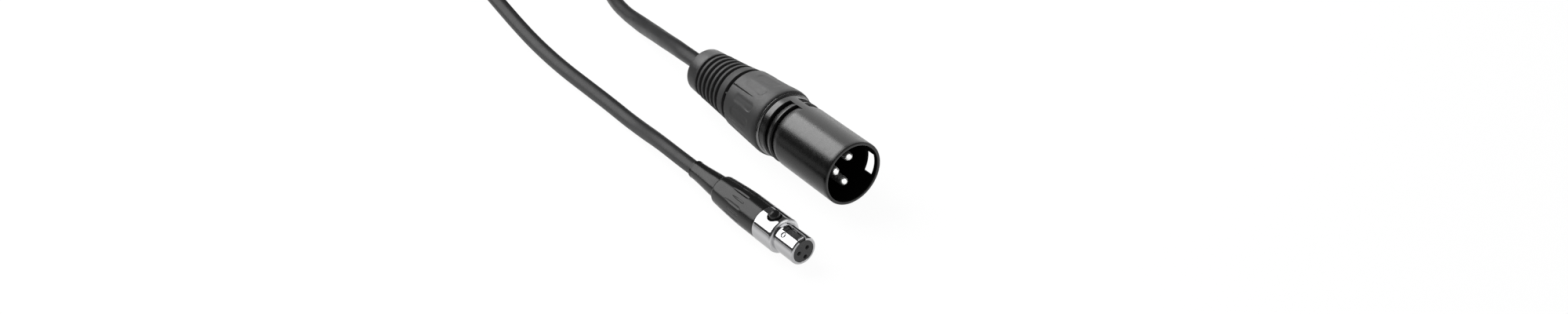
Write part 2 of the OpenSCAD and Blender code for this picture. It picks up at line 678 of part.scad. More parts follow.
module mini_boot() color("#2b2c2e") at_mini() difference() {
    shoulder = [for (i = [0 : 5]) [
        mini_boot_rear_r - mini_boot_round * (1 - cos(18 * i)),
        mini_boot_end - mini_boot_round * (1 - sin(18 * i))]];
    bore_end = mini_boot_start + mini_boot_bore_len;
    rotate_extrude() polygon(concat(
        [[tail_r + slip, mini_boot_start], [barrel_r, mini_boot_start],
         [mini_boot_mid_r, mini_boot_start + mini_boot_len / 2]],
        shoulder,
        [[sleeve_root_r + slip, mini_boot_end], [sleeve_root_r + slip, bore_end], [tail_r + slip, bore_end]]));
    for (i = [0 : leaf_count - 1]) {
        l = i % 2 == 0 ? leaf_long : leaf_short;
        mid = mini_boot_start + leaf_start + l / 2;
        clock(mini_clock + leaf_turn + (i + 0.5) * 360 / leaf_count) translate([mini_boot_mid_r - leaf_depth, 0, mid])
            rotate([0, 90 - mini_boot_taper / 2, 0]) linear_extrude(eps) round_box(l, leaf_w, leaf_w / 2 - slip / 2);
    }
}

module mini_sleeve() color("#333437") at_mini() {
    bead = mini_len - sleeve_bead_len;
    root = mini_boot_end - sleeve_root_len;
    rotate_extrude() polygon([
        [cable_bore_r, root], [sleeve_root_r, root], [sleeve_root_r, mini_boot_end], [sleeve_r, mini_boot_end],
        [sleeve_waist_r, bead], [sleeve_bead_r, bead + sleeve_bead_len / 3],
        [sleeve_bead_r, mini_len - free], [sleeve_bead_r - free, mini_len], [cable_bore_r, mini_len]]);
}

module mini_wire(i) color(["#b03030", "#d8d8d8", "#b87a4a"][i]) at_mini()
    slanted_rod(mini_wire_r, socket_places[i][1], socket_places[i][0], socket_back + free, 1.1, mini_jacket_start - 2 * free);

module mini_jacket() color("#1d1e20") at_mini() rod(cable_r, mini_jacket_start, mini_exit);

// ---------------------------------------------------------------- free cable

function unit(v) = v / norm(v);

// Directions along a line of points, with those of its two ends given
function directions(p, first, last) = concat(
    [first], [for (i = [1 : len(p) - 2]) unit(p[i + 1] - p[i - 1])], [last]);

// One closed tube along a line of points, with a flat end square to it at each end
module swept_tube(p, r, sides, first, last_direction) {
    d = directions(p, first, last_direction);
    rings = [for (i = [0 : len(p) - 1])
        let (across = unit(cross(d[i], [0, 0, 1])), over = cross(across, d[i]))
        for (k = [0 : sides - 1])
            let (a = 360 * (k + 0.5) / sides) p[i] + r * (cos(a) * across + sin(a) * over)];
    last = (len(p) - 1) * sides;
    sides_faces = [for (i = [0 : len(p) - 2], k = [0 : sides - 1], half = [0, 1])
        let (a = i * sides + k, b = i * sides + (k + 1) % sides)
        half == 0 ? [a, b, b + sides] : [a, b + sides, a + sides]];
    start_faces = [for (k = [1 : sides - 2]) [0, k + 1, k]];
    end_faces = [for (k = [1 : sides - 2]) [last, last + k, last + k + 1]];
    polyhedron(points = rings, faces = concat(sides_faces, start_faces, end_faces));
}

// Height and side of the spiral: it runs in and out by turns, one layer on top of the other
function from_reversal(u) = abs(u - layer_turns * round(u / layer_turns));
function softened(x) = x < climb ? (x * x + climb * climb) / (2 * climb) : x;
function at_end(u) = u < layer_turns / 2;
function swing(u) = at_end(u) ? layer_turns / 2 - u
    : inner_side(u) ? softened(from_reversal(u)) - layer_turns / 2
    : layer_turns / 2 - softened(from_reversal(u));
function inner_side(u) = round(u / layer_turns) % 2 == 1;
function smooth(s) = s * s * (3 - 2 * s);
function layer(u) = let (k = round(u / layer_turns), x = (u - layer_turns * k) / climb)
    k == 0 ? 0 : k >= coil_layers ? coil_layers - 1
    : k - 1 + smooth(min(max((x + 1) / 2, 0), 1));
function coil_point(u) = [
    coil_x + (coil_r + coil_pitch * swing(u)) * cos(360 * u),
    coil_y + (coil_r + coil_pitch * swing(u)) * sin(360 * u),
    coil_lift + cable_r + coil_pitch * layer(u)];
coil_steps = coil_turns * loop_rings;
coil_curve = [for (i = [0 : coil_steps]) coil_point(i / loop_rings)];
coil_in = unit([coil_curve[1][0] - coil_curve[0][0], coil_curve[1][1] - coil_curve[0][1], 0]);
coil_out = unit([for (k = [0 : 2]) k < 2 ? coil_curve[coil_steps][k] - coil_curve[coil_steps - 1][k] : 0]);
coil_path = concat([coil_curve[0] - cable_d * coil_in], coil_curve, [coil_curve[coil_steps] + cable_d * coil_out]);

// Least gap between one stretch of the coil and any other, half a turn or more away
coil_least_gap = min([for (i = [0 : coil_steps], j = [i + loop_rings / 2 : coil_steps])
    norm(coil_curve[i] - coil_curve[j])]) - cable_d;
echo(coil_least_gap = coil_least_gap);

xlr_end = [xlr_x, xlr_y + xlr_exit, lip_r];
mini_back = [-sin(mini_yaw), cos(mini_yaw), 0];
mini_end = [mini_x, mini_y, barrel_r] + mini_exit * mini_back;
xlr_path = concat([xlr_end], xlr_route, [coil_path[0]]);
mini_path = concat([coil_path[len(coil_path) - 1]], mini_route, [mini_end]);

function path_length(p) = [for (i = [0 : len(p) - 2]) norm(p[i + 1] - p[i])] * [for (i = [0 : len(p) - 2]) 1];
echo(cable_length = 2 * straight_len + path_length(xlr_path) + path_length(coil_path) + path_length(mini_path));

module cable_run_xlr() color("#1d1e20") swept_tube(xlr_path, cable_r, run_sides, [0, 1, 0], coil_in);

module cable_coil() color("#1d1e20") swept_tube(coil_path, cable_r, coil_sides, coil_in, coil_out);

module cable_run_mini() color("#1d1e20") swept_tube(mini_path, cable_r, run_sides, coil_out, -mini_back);

// Flat tie round the bundle, a quarter turn past the coil's start, where the turns lie closest
module coil_tie() color("#151617") {
    wide = 2 * (coil_pitch * (layer_turns / 2 - 0.25) + cable_r + free);
    high = cable_d + coil_pitch * (coil_layers - 1) + 2 * free;
    translate([coil_x - tie_w / 2, coil_y + coil_r, tie_th + high / 2]) rotate([90, 0, 90])
        linear_extrude(tie_w) difference() {
            round_box(wide + 2 * tie_th, high + 2 * tie_th, tie_corner);
            round_box(wide, high, tie_corner - tie_th);
        }
}

// ---------------------------------------------------------------- nodes

xlr_shell();
xlr_insert();
xlr_pin(0);  // xlr_pin_1
xlr_pin(1);  // xlr_pin_2
xlr_pin(2);  // xlr_pin_3
xlr_ground_contact();
xlr_cable_clamp();
xlr_bushing();
xlr_boot();
xlr_wire(0);  // xlr_wire_1
xlr_wire(1);  // xlr_wire_2
xlr_wire(2);  // xlr_wire_3
xlr_jacket();
mini_barrel();
mini_insert();
mini_socket(0);  // mini_socket_1
mini_socket(1);  // mini_socket_2
mini_socket(2);  // mini_socket_3
mini_latch();
mini_button();
mini_latch_pin();
mini_lock_screw();
mini_cable_clamp();
mini_boot();
mini_sleeve();
mini_wire(0);  // mini_wire_1
mini_wire(1);  // mini_wire_2
mini_wire(2);  // mini_wire_3
mini_jacket();
cable_run_xlr();
cable_coil();
cable_run_mini();
coil_tie();
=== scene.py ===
# Adapter lead: a male XLR plug and a latching female mini XLR plug, on one round cable.
# Lengths are in metres, +Z is up, and both plugs lie on the floor with their mouths towards -Y.
# Each plug is worked out in its own terms: a clock angle, in degrees clockwise from the top as its
# mouth is seen, a distance from its axis and a distance behind its front rim.
import json

import bmesh
import bpy
import numpy as np
from mathutils import Matrix, Vector

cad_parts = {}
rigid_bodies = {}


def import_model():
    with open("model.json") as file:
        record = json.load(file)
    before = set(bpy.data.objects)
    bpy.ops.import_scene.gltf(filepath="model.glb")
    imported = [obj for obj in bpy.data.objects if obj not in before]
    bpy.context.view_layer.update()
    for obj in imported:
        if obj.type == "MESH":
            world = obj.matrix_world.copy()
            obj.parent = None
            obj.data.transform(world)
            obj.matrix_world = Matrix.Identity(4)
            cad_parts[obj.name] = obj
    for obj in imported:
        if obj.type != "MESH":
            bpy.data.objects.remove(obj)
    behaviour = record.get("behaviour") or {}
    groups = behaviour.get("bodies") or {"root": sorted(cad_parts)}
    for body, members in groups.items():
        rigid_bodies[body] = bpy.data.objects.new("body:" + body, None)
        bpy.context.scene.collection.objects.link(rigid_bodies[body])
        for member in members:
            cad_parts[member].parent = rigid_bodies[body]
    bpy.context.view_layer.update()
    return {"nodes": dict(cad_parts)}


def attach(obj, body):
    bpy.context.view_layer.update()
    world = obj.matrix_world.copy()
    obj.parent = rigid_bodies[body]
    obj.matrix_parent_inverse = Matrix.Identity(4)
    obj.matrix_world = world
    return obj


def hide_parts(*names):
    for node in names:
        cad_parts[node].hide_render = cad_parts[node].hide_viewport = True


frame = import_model()
MM = 0.001

# ---------------------------------------------------------------- camera
# A product camera stands in front of the plugs, to their left, and looks down along them.
camera_data = bpy.data.cameras.new("camera")
camera_data.lens = 32.4
camera_data.sensor_width = 36
camera_data.clip_start = 0.01
camera = bpy.data.objects.new("camera", camera_data)
camera.location = (-0.191577, -0.277260, 0.220693)
camera_azimuth, camera_elevation = np.radians(-35.9), np.radians(32.6)
looks_along = Vector((-np.sin(camera_azimuth) * np.cos(camera_elevation),
                      np.cos(camera_azimuth) * np.cos(camera_elevation),
                      -np.sin(camera_elevation)))
camera.rotation_mode = "QUATERNION"
camera.rotation_quaternion = looks_along.to_track_quat("-Z", "Y")
bpy.context.scene.collection.objects.link(camera)
bpy.context.scene.camera = camera

# ---------------------------------------------------------------- cable
# One round cable with a soft black jacket joins the plugs. It runs straight out of both boots, sinks
# to the floor, and its spare length is wound into a flat coil of four layers behind them.
cable_diameter = 4.8 * MM
xlr_plug = {"rim": np.array([11.3827, -28.9407, 10.45]) * MM, "yaw": 0.0}
mini_plug = {"rim": np.array([-16.1173, -43.4407, 5.05]) * MM, "yaw": np.radians(1.7)}
xlr_route = np.array([
    [11.6, 57, 10.1], [12.3, 63, 9.3], [13.5, 71, 7.8], [15.1, 79.5, 6], [16.6, 88, 4.2],
    [17.7, 96, 3], [18.3, 104, 2.5], [19.6, 113, 2.4], [22.4, 123, 2.4], [26.8, 133, 2.4],
    [31.6, 143, 2.4], [35.8, 152.5, 2.5], [38.3, 161.5, 2.8]]) * MM
mini_route = np.array([
    [-20.1, 161, 18.6], [-19.9, 151, 16.7], [-19.6, 141, 14.1], [-19.2, 131, 11.2], [-18.8, 121, 8.4],
    [-18.5, 111, 6], [-18.2, 101, 4.1], [-17.9, 90, 2.9], [-17.6, 79, 2.4], [-17.3, 67, 2.4],
    [-17, 55, 2.4], [-16.9, 44, 2.4], [-16.9, 38, 2.65], [-17.2, 32, 3.35], [-17.6, 26, 4.25],
    [-17.87, 20, 4.82]]) * MM
coil_middle = np.array([8, 174.5]) * MM
coil_radius, coil_pitch = 25.6 * MM, 5.4 * MM
coil_lift = 0.6 * MM
coil_layers, coil_turns, layer_turns, coil_climb = 4, 7.5, 2, 0.25


def on_plug(plug, clock, radius, behind):
    """Points at a clock angle in degrees, a radius and a distance behind the rim, both in mm. The
    clock plane is square to the plug's axis, which is turned by the plug's yaw about the vertical."""
    clock, radius, behind = np.broadcast_arrays(np.radians(clock), np.multiply(radius, MM),
                                                np.multiply(behind, MM))
    across, up = radius * np.sin(clock), radius * np.cos(clock)
    cos, sin = np.cos(plug["yaw"]), np.sin(plug["yaw"])
    turned = np.stack([across * cos - behind * sin, across * sin + behind * cos, up], -1)
    return turned + plug["rim"]


def coil_line(turn):
    """Centre line of the coil at a number of turns: a spiral that runs inwards on one layer and
    outwards on the next, and climbs one pitch about each reversal."""
    reversal = np.round(turn / layer_turns)
    away = np.abs(turn - layer_turns * reversal)
    soft = np.where(away < coil_climb, (away ** 2 + coil_climb ** 2) / (2 * coil_climb), away)
    swing = np.where(reversal % 2 == 1, soft - layer_turns / 2, layer_turns / 2 - soft)
    swing = np.where(turn < layer_turns / 2, layer_turns / 2 - turn, swing)
    step = np.clip(((turn - layer_turns * reversal) / coil_climb + 1) / 2, 0, 1)
    layer = np.where(reversal == 0, 0, reversal - 1 + step * step * (3 - 2 * step))
    layer = np.where(reversal >= coil_layers, coil_layers - 1, layer)
    radius = coil_radius + coil_pitch * swing
    return np.stack([coil_middle[0] + radius * np.cos(2 * np.pi * turn),
                     coil_middle[1] + radius * np.sin(2 * np.pi * turn),
                     coil_lift + cable_diameter / 2 + coil_pitch * layer], -1)


def eased(points, steps):
    """Catmull-Rom curve through points: each stretch is the cubic that keeps the mean slope of its
    neighbours at both ends."""
    before = np.vstack([2 * points[0] - points[1], points[:-2]])
    after = np.vstack([points[2:], 2 * points[-1] - points[-2]])
    a, b = points[:-1], points[1:]
    s = (np.arange(steps) / steps)[None, :, None]
    a, b, p, n = a[:, None], b[:, None], before[:, None], after[:, None]
    curve = 0.5 * (2 * a + (b - p) * s + (2 * p - 5 * a + 4 * b - n) * s ** 2
                   + (3 * a - p - 3 * b + n) * s ** 3)
    return np.vstack([curve.reshape(-1, 3), points[-1:]])


def grid_faces(rows, columns, wrap_rows=False, wrap_columns=True):
    """Quads of a grid of points, as corner numbers of shape (rows, columns, 4)."""
    i = np.arange(rows if wrap_rows else rows - 1)[:, None]
    j = np.arange(columns if wrap_columns else columns - 1)[None, :]
    k, l = (i + 1) % rows, (j + 1) % columns
    return np.stack([i * columns + j, i * columns + l, k * columns + l, k * columns + j], -1)


def grid_part(points, wrap_rows=False, wrap_columns=True):
    """A grid of points (rows, columns, 3) with its quads."""
    return points, grid_faces(*points.shape[:2], wrap_rows, wrap_columns)


def make_piece(name, parts, material, body, replaces=(), sharp=35, bevel=0.0, bevel_from=40, merge=2e-6):
    """One object from parts, each an array of points and one or more arrays of faces: points that
    meet are merged, faces turned outwards, edges sharper than an angle kept sharp or bevelled."""
    mesh = bpy.data.meshes.new(name)
    points = [np.reshape(part[0], (-1, 3)) for part in parts]
    starts = np.cumsum([0] + [len(p) for p in points[:-1]])
    faces = [face for start, part in zip(starts, parts) for some in part[1:]
             for face in (np.reshape(some, (-1, np.shape(some)[-1])) + start).tolist()]
    mesh.from_pydata(np.vstack(points).tolist(), [], faces)
    work = bmesh.new()
    work.from_mesh(mesh)
    bmesh.ops.remove_doubles(work, verts=work.verts, dist=merge)
    bmesh.ops.dissolve_degenerate(work, edges=work.edges, dist=1e-7)
    bmesh.ops.recalc_face_normals(work, faces=work.faces)
    work.to_mesh(mesh)
    work.free()
    mesh.polygons.foreach_set("use_smooth", np.ones(len(mesh.polygons), bool))
    mesh.set_sharp_from_angle(angle=np.radians(sharp))
    piece = bpy.data.objects.new(name, mesh)
    bpy.context.scene.collection.objects.link(piece)
    mesh.materials.append(material)
    if bevel:
        rounding = piece.modifiers.new("edges", "BEVEL")
        rounding.width, rounding.segments = bevel * MM, 2
        rounding.limit_method, rounding.angle_limit = "ANGLE", np.radians(bevel_from)
        rounding.harden_normals = True
    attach(piece, body)
    if replaces:
        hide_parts(*replaces)
    return piece


def add_node(tree, kind, inputs=(), **settings):
    """A new node with its settings. Each input, by name or number, is linked to an output of another
    node or set to a plain value."""
    node = tree.nodes.new("ShaderNode" + kind)
    for name, value in settings.items():
        setattr(node, name, value)
    for name, value in dict(inputs).items():
        if isinstance(value, bpy.types.NodeSocket):
            tree.links.new(value, node.inputs[name])
        else:
            node.inputs[name].default_value = value
    return node


def finish(name, colour, roughness, size, height, colours, roughnesses, blotch, metal=0.0, stretch=None):
    """A material with surface grain on Object coordinates: fine noise of a size in mm drives the bump,
    of a height in mm, and noise as wide as a blotch varies the colour and roughness between two values."""
    material = bpy.data.materials.new(name)
    material.use_nodes = True
    tree = material.node_tree
    shader = tree.nodes["Principled BSDF"]
    shader.inputs["Base Color"].default_value = (*colour, 1)
    shader.inputs["Roughness"].default_value = roughness
    shader.inputs["Metallic"].default_value = metal
    place = add_node(tree, "TexCoord").outputs["Object"]
    if stretch is not None:
        place = add_node(tree, "Mapping", {"Scale": stretch, "Vector": place}).outputs["Vector"]
    fine = add_node(tree, "TexNoise", {"Scale": 1000 / size, "Detail": 3, "Vector": place})
    bump = add_node(tree, "Bump", {"Distance": height * MM, "Strength": 1, "Height": fine.outputs["Fac"]})
    wide = add_node(tree, "TexNoise", {"Scale": 1000 / blotch, "Detail": 2, "Vector": place}).outputs["Fac"]
    mix = add_node(tree, "Mix", {"A": (*colours[0], 1), "B": (*colours[1], 1), "Factor": wide}, data_type="RGBA")
    span = add_node(tree, "MapRange", {"From Min": 0.3, "From Max": 0.7, "To Min": roughnesses[0],
                                       "To Max": roughnesses[1], "Value": wide})
    tree.links.new(bump.outputs["Normal"], shader.inputs["Normal"])
    tree.links.new(mix.outputs["Result"], shader.inputs["Base Color"])
    tree.links.new(span.outputs["Result"], shader.inputs["Roughness"])
    return material


def tube_along(line, radius, sides):
    """Closed tube round a line of points, of a radius or of one for each point: each ring is a circle
    in the plane square to the line's direction, and both ends are capped by a fan."""
    ahead = np.gradient(line, axis=0)
    ahead /= np.linalg.norm(ahead, axis=1, keepdims=True)
    across = np.cross(ahead, [0, 0, 1.0])
    across /= np.linalg.norm(across, axis=1, keepdims=True)
    over = np.cross(across, ahead)
    angle = np.arange(sides) * 2 * np.pi / sides
    radius = np.broadcast_to(radius, len(line))[:, None, None]
    rings = (line[:, None] + radius * (np.cos(angle)[None, :, None] * across[:, None]
                                       + np.sin(angle)[None, :, None] * over[:, None]))
    points = np.vstack([rings.reshape(-1, 3), line[:1], line[-1:]])
    k = np.arange(sides)
    last = (len(line) - 1) * sides
    caps = [np.stack([k + first, (k + 1) % sides + first, np.full(sides, tip)], -1)
            for first, tip in ((0, len(points) - 2), (last, len(points) - 1))]
    return points, grid_faces(len(line), sides), *caps


xlr_cable_start, xlr_cable_exit, mini_cable_start = 44.5, 72.5, 24.0
coil_points = coil_line(np.linspace(0, coil_turns, int(coil_turns * 64) + 1))
enter = coil_points[1] - coil_points[0]
leave = coil_points[-1] - coil_points[-2]
enter, leave = (v * [1, 1, 0] / np.linalg.norm(v[:2]) for v in (enter, leave))
xlr_straight = on_plug(xlr_plug, 0, 0, np.linspace(xlr_cable_start, 80.5, 9))
mini_straight = on_plug(mini_plug, 215, 0.1, np.linspace(56.6, mini_cable_start, 9))
xlr_run = eased(np.vstack([xlr_straight, xlr_route, coil_points[:1] - cable_diameter * enter,
                           coil_points[:1]]), 6)
mini_run = eased(np.vstack([coil_points[-1:], coil_points[-1:] + cable_diameter * leave,
                            mini_route, mini_straight]), 6)
cable_line = np.vstack([xlr_run[:-1], coil_points, mini_run[1:]])
cable_jacket = finish("cable_jacket", (0.03, 0.03, 0.031), 0.42, 0.25, 0.008,
                      ((0.027, 0.027, 0.028), (0.034, 0.034, 0.035)), (0.38, 0.46), 4)
# The jacket is 5 to 5.4 mm thick by the XLR plug, 4.8 mm in the coil and 4.3 mm by the mini plug
passed = np.concatenate([[0], np.cumsum(np.linalg.norm(np.diff(cable_line, axis=0), axis=1))])
to_come = passed[-1] - passed
cable_radius = MM * np.where(
    passed < to_come,
    np.interp(passed, [0.03, 0.037, 0.047, 0.057, 0.07, 0.078, 0.09], [2.48, 2.5, 2.57, 2.6, 2.67, 2.69, 2.4]),
    np.interp(to_come, [0.026, 0.03, 0.034, 0.042, 0.05, 0.1, 0.2], [2.13, 2.16, 2.14, 2.15, 2.23, 2.33, 2.4]))
cable = make_piece("cable", [tube_along(cable_line, cable_radius, 40)], cable_jacket, "lead",
                   ("xlr_jacket", "mini_jacket", "cable_run_xlr", "cable_coil", "cable_run_mini"), sharp=50)

# ---------------------------------------------------------------- coil tie
# A narrow woven hook-and-loop strap goes once round the bundle of turns and laps over itself.
strap_wide, strap_thick = 4.0, 0.5
bundle_half, bundle_high = 6.55, 21.2


def strap_outline(grow, steps=10):
    """Rounded rectangle round the bundle, in the plane across the turns: four quarter arcs."""
    corner = 1.1 + grow
    half, high = bundle_half + grow, bundle_high / 2 + grow
    angle = np.linspace(0, np.pi / 2, steps)
    quarter = np.stack([np.cos(angle), np.sin(angle)], -1) * corner
    signs = np.array([[1, 1], [-1, 1], [-1, -1], [1, -1]])
    arcs = [(quarter if k % 2 == 0 else quarter[::-1]) * s + (np.array([half, high]) - corner) * s
            for k, s in enumerate(signs)]
    return np.vstack(arcs)


inner, outer = strap_outline(0), strap_outline(strap_thick)
loops = [(outer, -1), (outer, 1), (inner, 1), (inner, -1)]
rows = np.stack([np.column_stack([np.full(len(o), coil_middle[0] / MM + s * strap_wide / 2),
                                  o[:, 0] + (coil_middle[1] + coil_radius) / MM,
                                  o[:, 1] + strap_thick + bundle_high / 2]) for o, s in loops]) * MM
strap_weave = finish("strap_weave", (0.02, 0.02, 0.022), 0.85, 0.3, 0.05,
                     ((0.014, 0.014, 0.015), (0.03, 0.03, 0.032)), (0.75, 0.95), 0.8)
tie = make_piece("cable_tie", [grid_part(rows, wrap_rows=True)], strap_weave, "lead", ("coil_tie",), bevel=0.1)
on_plug(xlr_plug, 0, 0, xlr_cable_exit).tolist()

# ---------------------------------------------------------------- XLR shell
# The plug's metal tube, with a satin black coat: open at the front, with a latch window in its
# right side, a ring inside that stops the insert, and two ring grooves that a plain strip bridges.


def softened(profile, radii, steps=3):
    """Profile with round corners: each corner becomes a quadratic curve between two points that lie
    its radius away along the sides, or less where a side is short."""
    p = np.asarray(profile, float)
    before, after = np.roll(p, 1, 0) - p, np.roll(p, -1, 0) - p
    r = np.broadcast_to(np.asarray(radii, float), len(p))[:, None]
    size_b, size_a = (np.linalg.norm(v, axis=1, keepdims=True) for v in (before, after))
    start = p + before / size_b * np.minimum(r, 0.45 * size_b)
    end = p + after / size_a * np.minimum(r, 0.45 * size_a)
    s = np.linspace(0, 1, steps + 1)[None, :, None]
    curve = (1 - s) ** 2 * start[:, None] + 2 * s * (1 - s) * p[:, None] + s ** 2 * end[:, None]
    return curve.reshape(-1, 2)


def lathe(plug, profile, clocks=None):
    """Closed surface of revolution: a closed profile of (radius, behind) at each clock angle."""
    clocks = np.arange(0, 360, 360 / 128) if clocks is None else clocks
    return grid_part(on_plug(plug, clocks[None, :], profile[:, :1], profile[:, 1:]), wrap_rows=True)


def ramp(x, low, high):
    """0 below low, 1 above high, and a smooth step between them."""
    s = np.clip((x - low) / (high - low), 0, 1)
    return s * s * (3 - 2 * s)


def spread(*stretches):
    """Rising values: each stretch (start, end, count) is split evenly, and ends where the next starts."""
    return np.unique(np.round(np.concatenate([np.linspace(a, b, n + 1) for a, b, n in stretches]), 6))


shell_radius, mouth_radius = 9.5, 8.5
window = {"clock": 95.6, "half": 22.3, "start": 1.5, "end": 5.2}
bridge_clock, bridge_half = 7.7, 8.1
front = [(mouth_radius, 0.3), (mouth_radius + 0.12, 0.08), (mouth_radius + 0.35, 0), (shell_radius - 0.3, 0),
         (shell_radius - 0.08, 0.08), (shell_radius, 0.3)]
# Behind each ring groove's sloping front side stands a steep wall with a rounded edge
groove_lines = np.array([(22.7, 0), (22.85, 0), (24.9, 0.5), (24.95, 0.95), (25.6, 0.95), (25.64, 0.24),
                         (25.74, 0.08), (25.92, 0), (26.1, 0), (27.55, 0.4), (27.6, 0.95), (28.6, 0.95),
                         (28.64, 0.24), (28.74, 0.08), (28.92, 0), (29.1, 0)])
outer_t = np.concatenate([[window["start"], window["end"], 8, 12, 16, 20, 22], groove_lines[:, 0], [30, 30.8]])
depth = np.concatenate([np.zeros(7), groove_lines[:, 1], [0, 0]])
rear = [(shell_radius - 0.02, 31.08), (shell_radius - 0.08, 31.13), (7.9, 31.13), (7.9, 16), (7.4, 16), (7.4, 15),
        (mouth_radius, 15)]
bore = [(mouth_radius, t) for t in (window["end"], window["start"])]
outer = np.column_stack([np.full(len(outer_t), shell_radius), outer_t])
profile = np.vstack([front, outer, rear, bore])
sunk = np.zeros(len(profile))
sunk[len(front):len(front) + len(outer)] = depth
left_edge, right_edge = bridge_clock - bridge_half, bridge_clock + bridge_half
clocks = spread((left_edge - 0.5, left_edge, 3), (left_edge, right_edge, 6), (right_edge, right_edge + 0.5, 3),
                (right_edge + 0.5, window["clock"] - window["half"], 30),
                (window["clock"] - window["half"], window["clock"] + window["half"], 16),
                (window["clock"] + window["half"], 360 + left_edge - 0.5, 100))[:-1]
off_bridge = np.maximum(ramp(-clocks, -left_edge, 0.35 - left_edge), ramp(clocks, right_edge, right_edge + 0.35))
radius = profile[:, :1] - sunk[:, None] * off_bridge[None, :]
points, faces = grid_part(on_plug(xlr_plug, clocks[None, :], radius, profile[:, 1:]), wrap_rows=True)
middle_t = (profile[:, 1] + np.roll(profile[:, 1], -1))[:, None] / 2
middle_clock = (clocks + np.append(clocks[1:], clocks[0] + 360))[None, :] / 2
level_wall = np.abs(profile[:, 0] - np.roll(profile[:, 0], -1)) < 1e-6
open_cell = ((middle_t > window["start"]) & (middle_t < window["end"]) & level_wall[:, None]
             & (np.abs(middle_clock - window["clock"]) < window["half"]))
# Walls of the window join the outer surface to the bore at the same clock angles and distances
inside = np.where(np.abs(clocks - window["clock"]) <= window["half"] + 1e-4)[0]
frame_t = np.concatenate([np.full(len(inside), window["start"]), np.full(len(inside), window["end"])])
frame_clock = np.concatenate([clocks[inside], clocks[inside][::-1]])
wall = on_plug(xlr_plug, frame_clock[None, :], np.array([[shell_radius], [mouth_radius]]), frame_t[None, :])
satin_black = finish("satin_black", (0.0025, 0.0025, 0.0025), 0.27, 0.22, 0.014,
                     ((0.002, 0.002, 0.002), (0.0035, 0.0035, 0.0035)), (0.24, 0.3), 1.0)
shell = make_piece("xlr_shell_body", [(points, faces[~open_cell]), grid_part(wall)], satin_black, "lead",
                   ("xlr_shell",), bevel=0.04)
# The bore and the window's walls get a near-black matt finish with almost no shine, which paints the shade inside
# the shell
painted_shade_black = finish("painted_shade_black", (0.0015, 0.0015, 0.0015), 0.8, 0.3, 0.01,
                    ((0.001, 0.001, 0.001), (0.002, 0.002, 0.002)), (0.7, 0.9), 1.0)
painted_shade_black.node_tree.nodes["Principled BSDF"].inputs["Specular IOR Level"].default_value = 0.03


def cover(piece, plug, material, where):
    """Gives a piece's faces another material where where(radius, behind) is true of their middles,
    in mm in the plug's terms."""
    piece.data.materials.append(material)
    middles = np.empty(len(piece.data.polygons) * 3)
    piece.data.polygons.foreach_get("center", middles)
    middles = middles.reshape(-1, 3) / MM - plug["rim"] / MM
    chosen = where(np.hypot(middles[:, 0], middles[:, 2]), middles[:, 1])
    kept = np.empty(len(chosen), np.int32)
    piece.data.polygons.foreach_get("material_index", kept)
    piece.data.polygons.foreach_set("material_index", np.where(chosen, len(piece.data.materials) - 1, kept))


cover(shell, xlr_plug, painted_shade_black, lambda radius, behind: (radius < shell_radius - 0.25) & (behind > 0.25)
      & ((behind < 20) | (radius < 8.2)))

# ---------------------------------------------------------------- grip bushing
# A hard rubber grip screws into the shell. It has a rounded lip, six finger panels with two shallow
# recesses each, score lines between the panels, and small nubs that space it from the boot.
grip_rear, gap_end = 49.6, 50.95
lip_radius, grip_rear_radius, gap_radius = 10.45, 9.38, 7.3
lip_t = 33.6
# In front of the lip lies a bare metal edge ring with a chamfer, behind it a fine groove
lip_line = softened([(9.42, 31.42), (9.9, 31.86), (9.9, 31.96), (9.8, 32.04), (10.12, 32.1), (10.36, 32.6),
                     (lip_radius, lip_t), (10.4, 34.6)], [0.05, 0.08, 0.04, 0.04, 0.2, 0.4, 0.5, 0], 5)[5:-6]
grip_t = spread((34, 35.6, 4), (35.6, 36.5, 12), (36.5, 38.6, 5), (38.6, 39.4, 4), (39.4, 44.4, 9), (44.4, 46, 8),
                (46, 49.2, 8))
grip_slope = (lip_radius - grip_rear_radius) / (grip_rear - lip_t)
side_line = np.column_stack([lip_radius - (grip_t - lip_t) * grip_slope, grip_t])
rear_line = softened([(grip_rear_radius, 49.3), (9.06, grip_rear), (gap_radius, grip_rear), (gap_radius, gap_end),
                      (5.0, gap_end), (5.0, 47.45), (6.6, 47.45), (6.6, 24.5), (7.85, 24.5), (7.85, 31.42),
                      (9.0, 31.42)], [0.15, 0.1, 0.1, 0.1, 0.2, 0.2, 0.2, 0.2, 0.3, 0.05, 0.05])
profile = np.vstack([lip_line, side_line, rear_line])
panel = spread((-30, -28.4, 8), (-28.4, -22.8, 3), (-22.8, -20.4, 12), (-20.4, -6.6, 8), (-6.6, -3, 7),
               (-3, 3.6, 4), (3.6, 6, 12), (6, 19.2, 8), (19.2, 23, 7), (23, 28.4, 3), (28.4, 30, 8))[:-1]
panel_clock, recess_clock, recess_half, recess_long, recess_depth = -67.2, 13.2, 1.42, 4.75, 0.15
clocks = (panel_clock + 60 * np.arange(6)[:, None] + panel[None, :]).ravel()
beside = np.tile(panel, 6)[None, :]
t = profile[:, 1:]
first = len(lip_line)
on_side = ((np.arange(len(profile)) >= first) & (np.arange(len(profile)) < first + len(side_line)))[:, None]
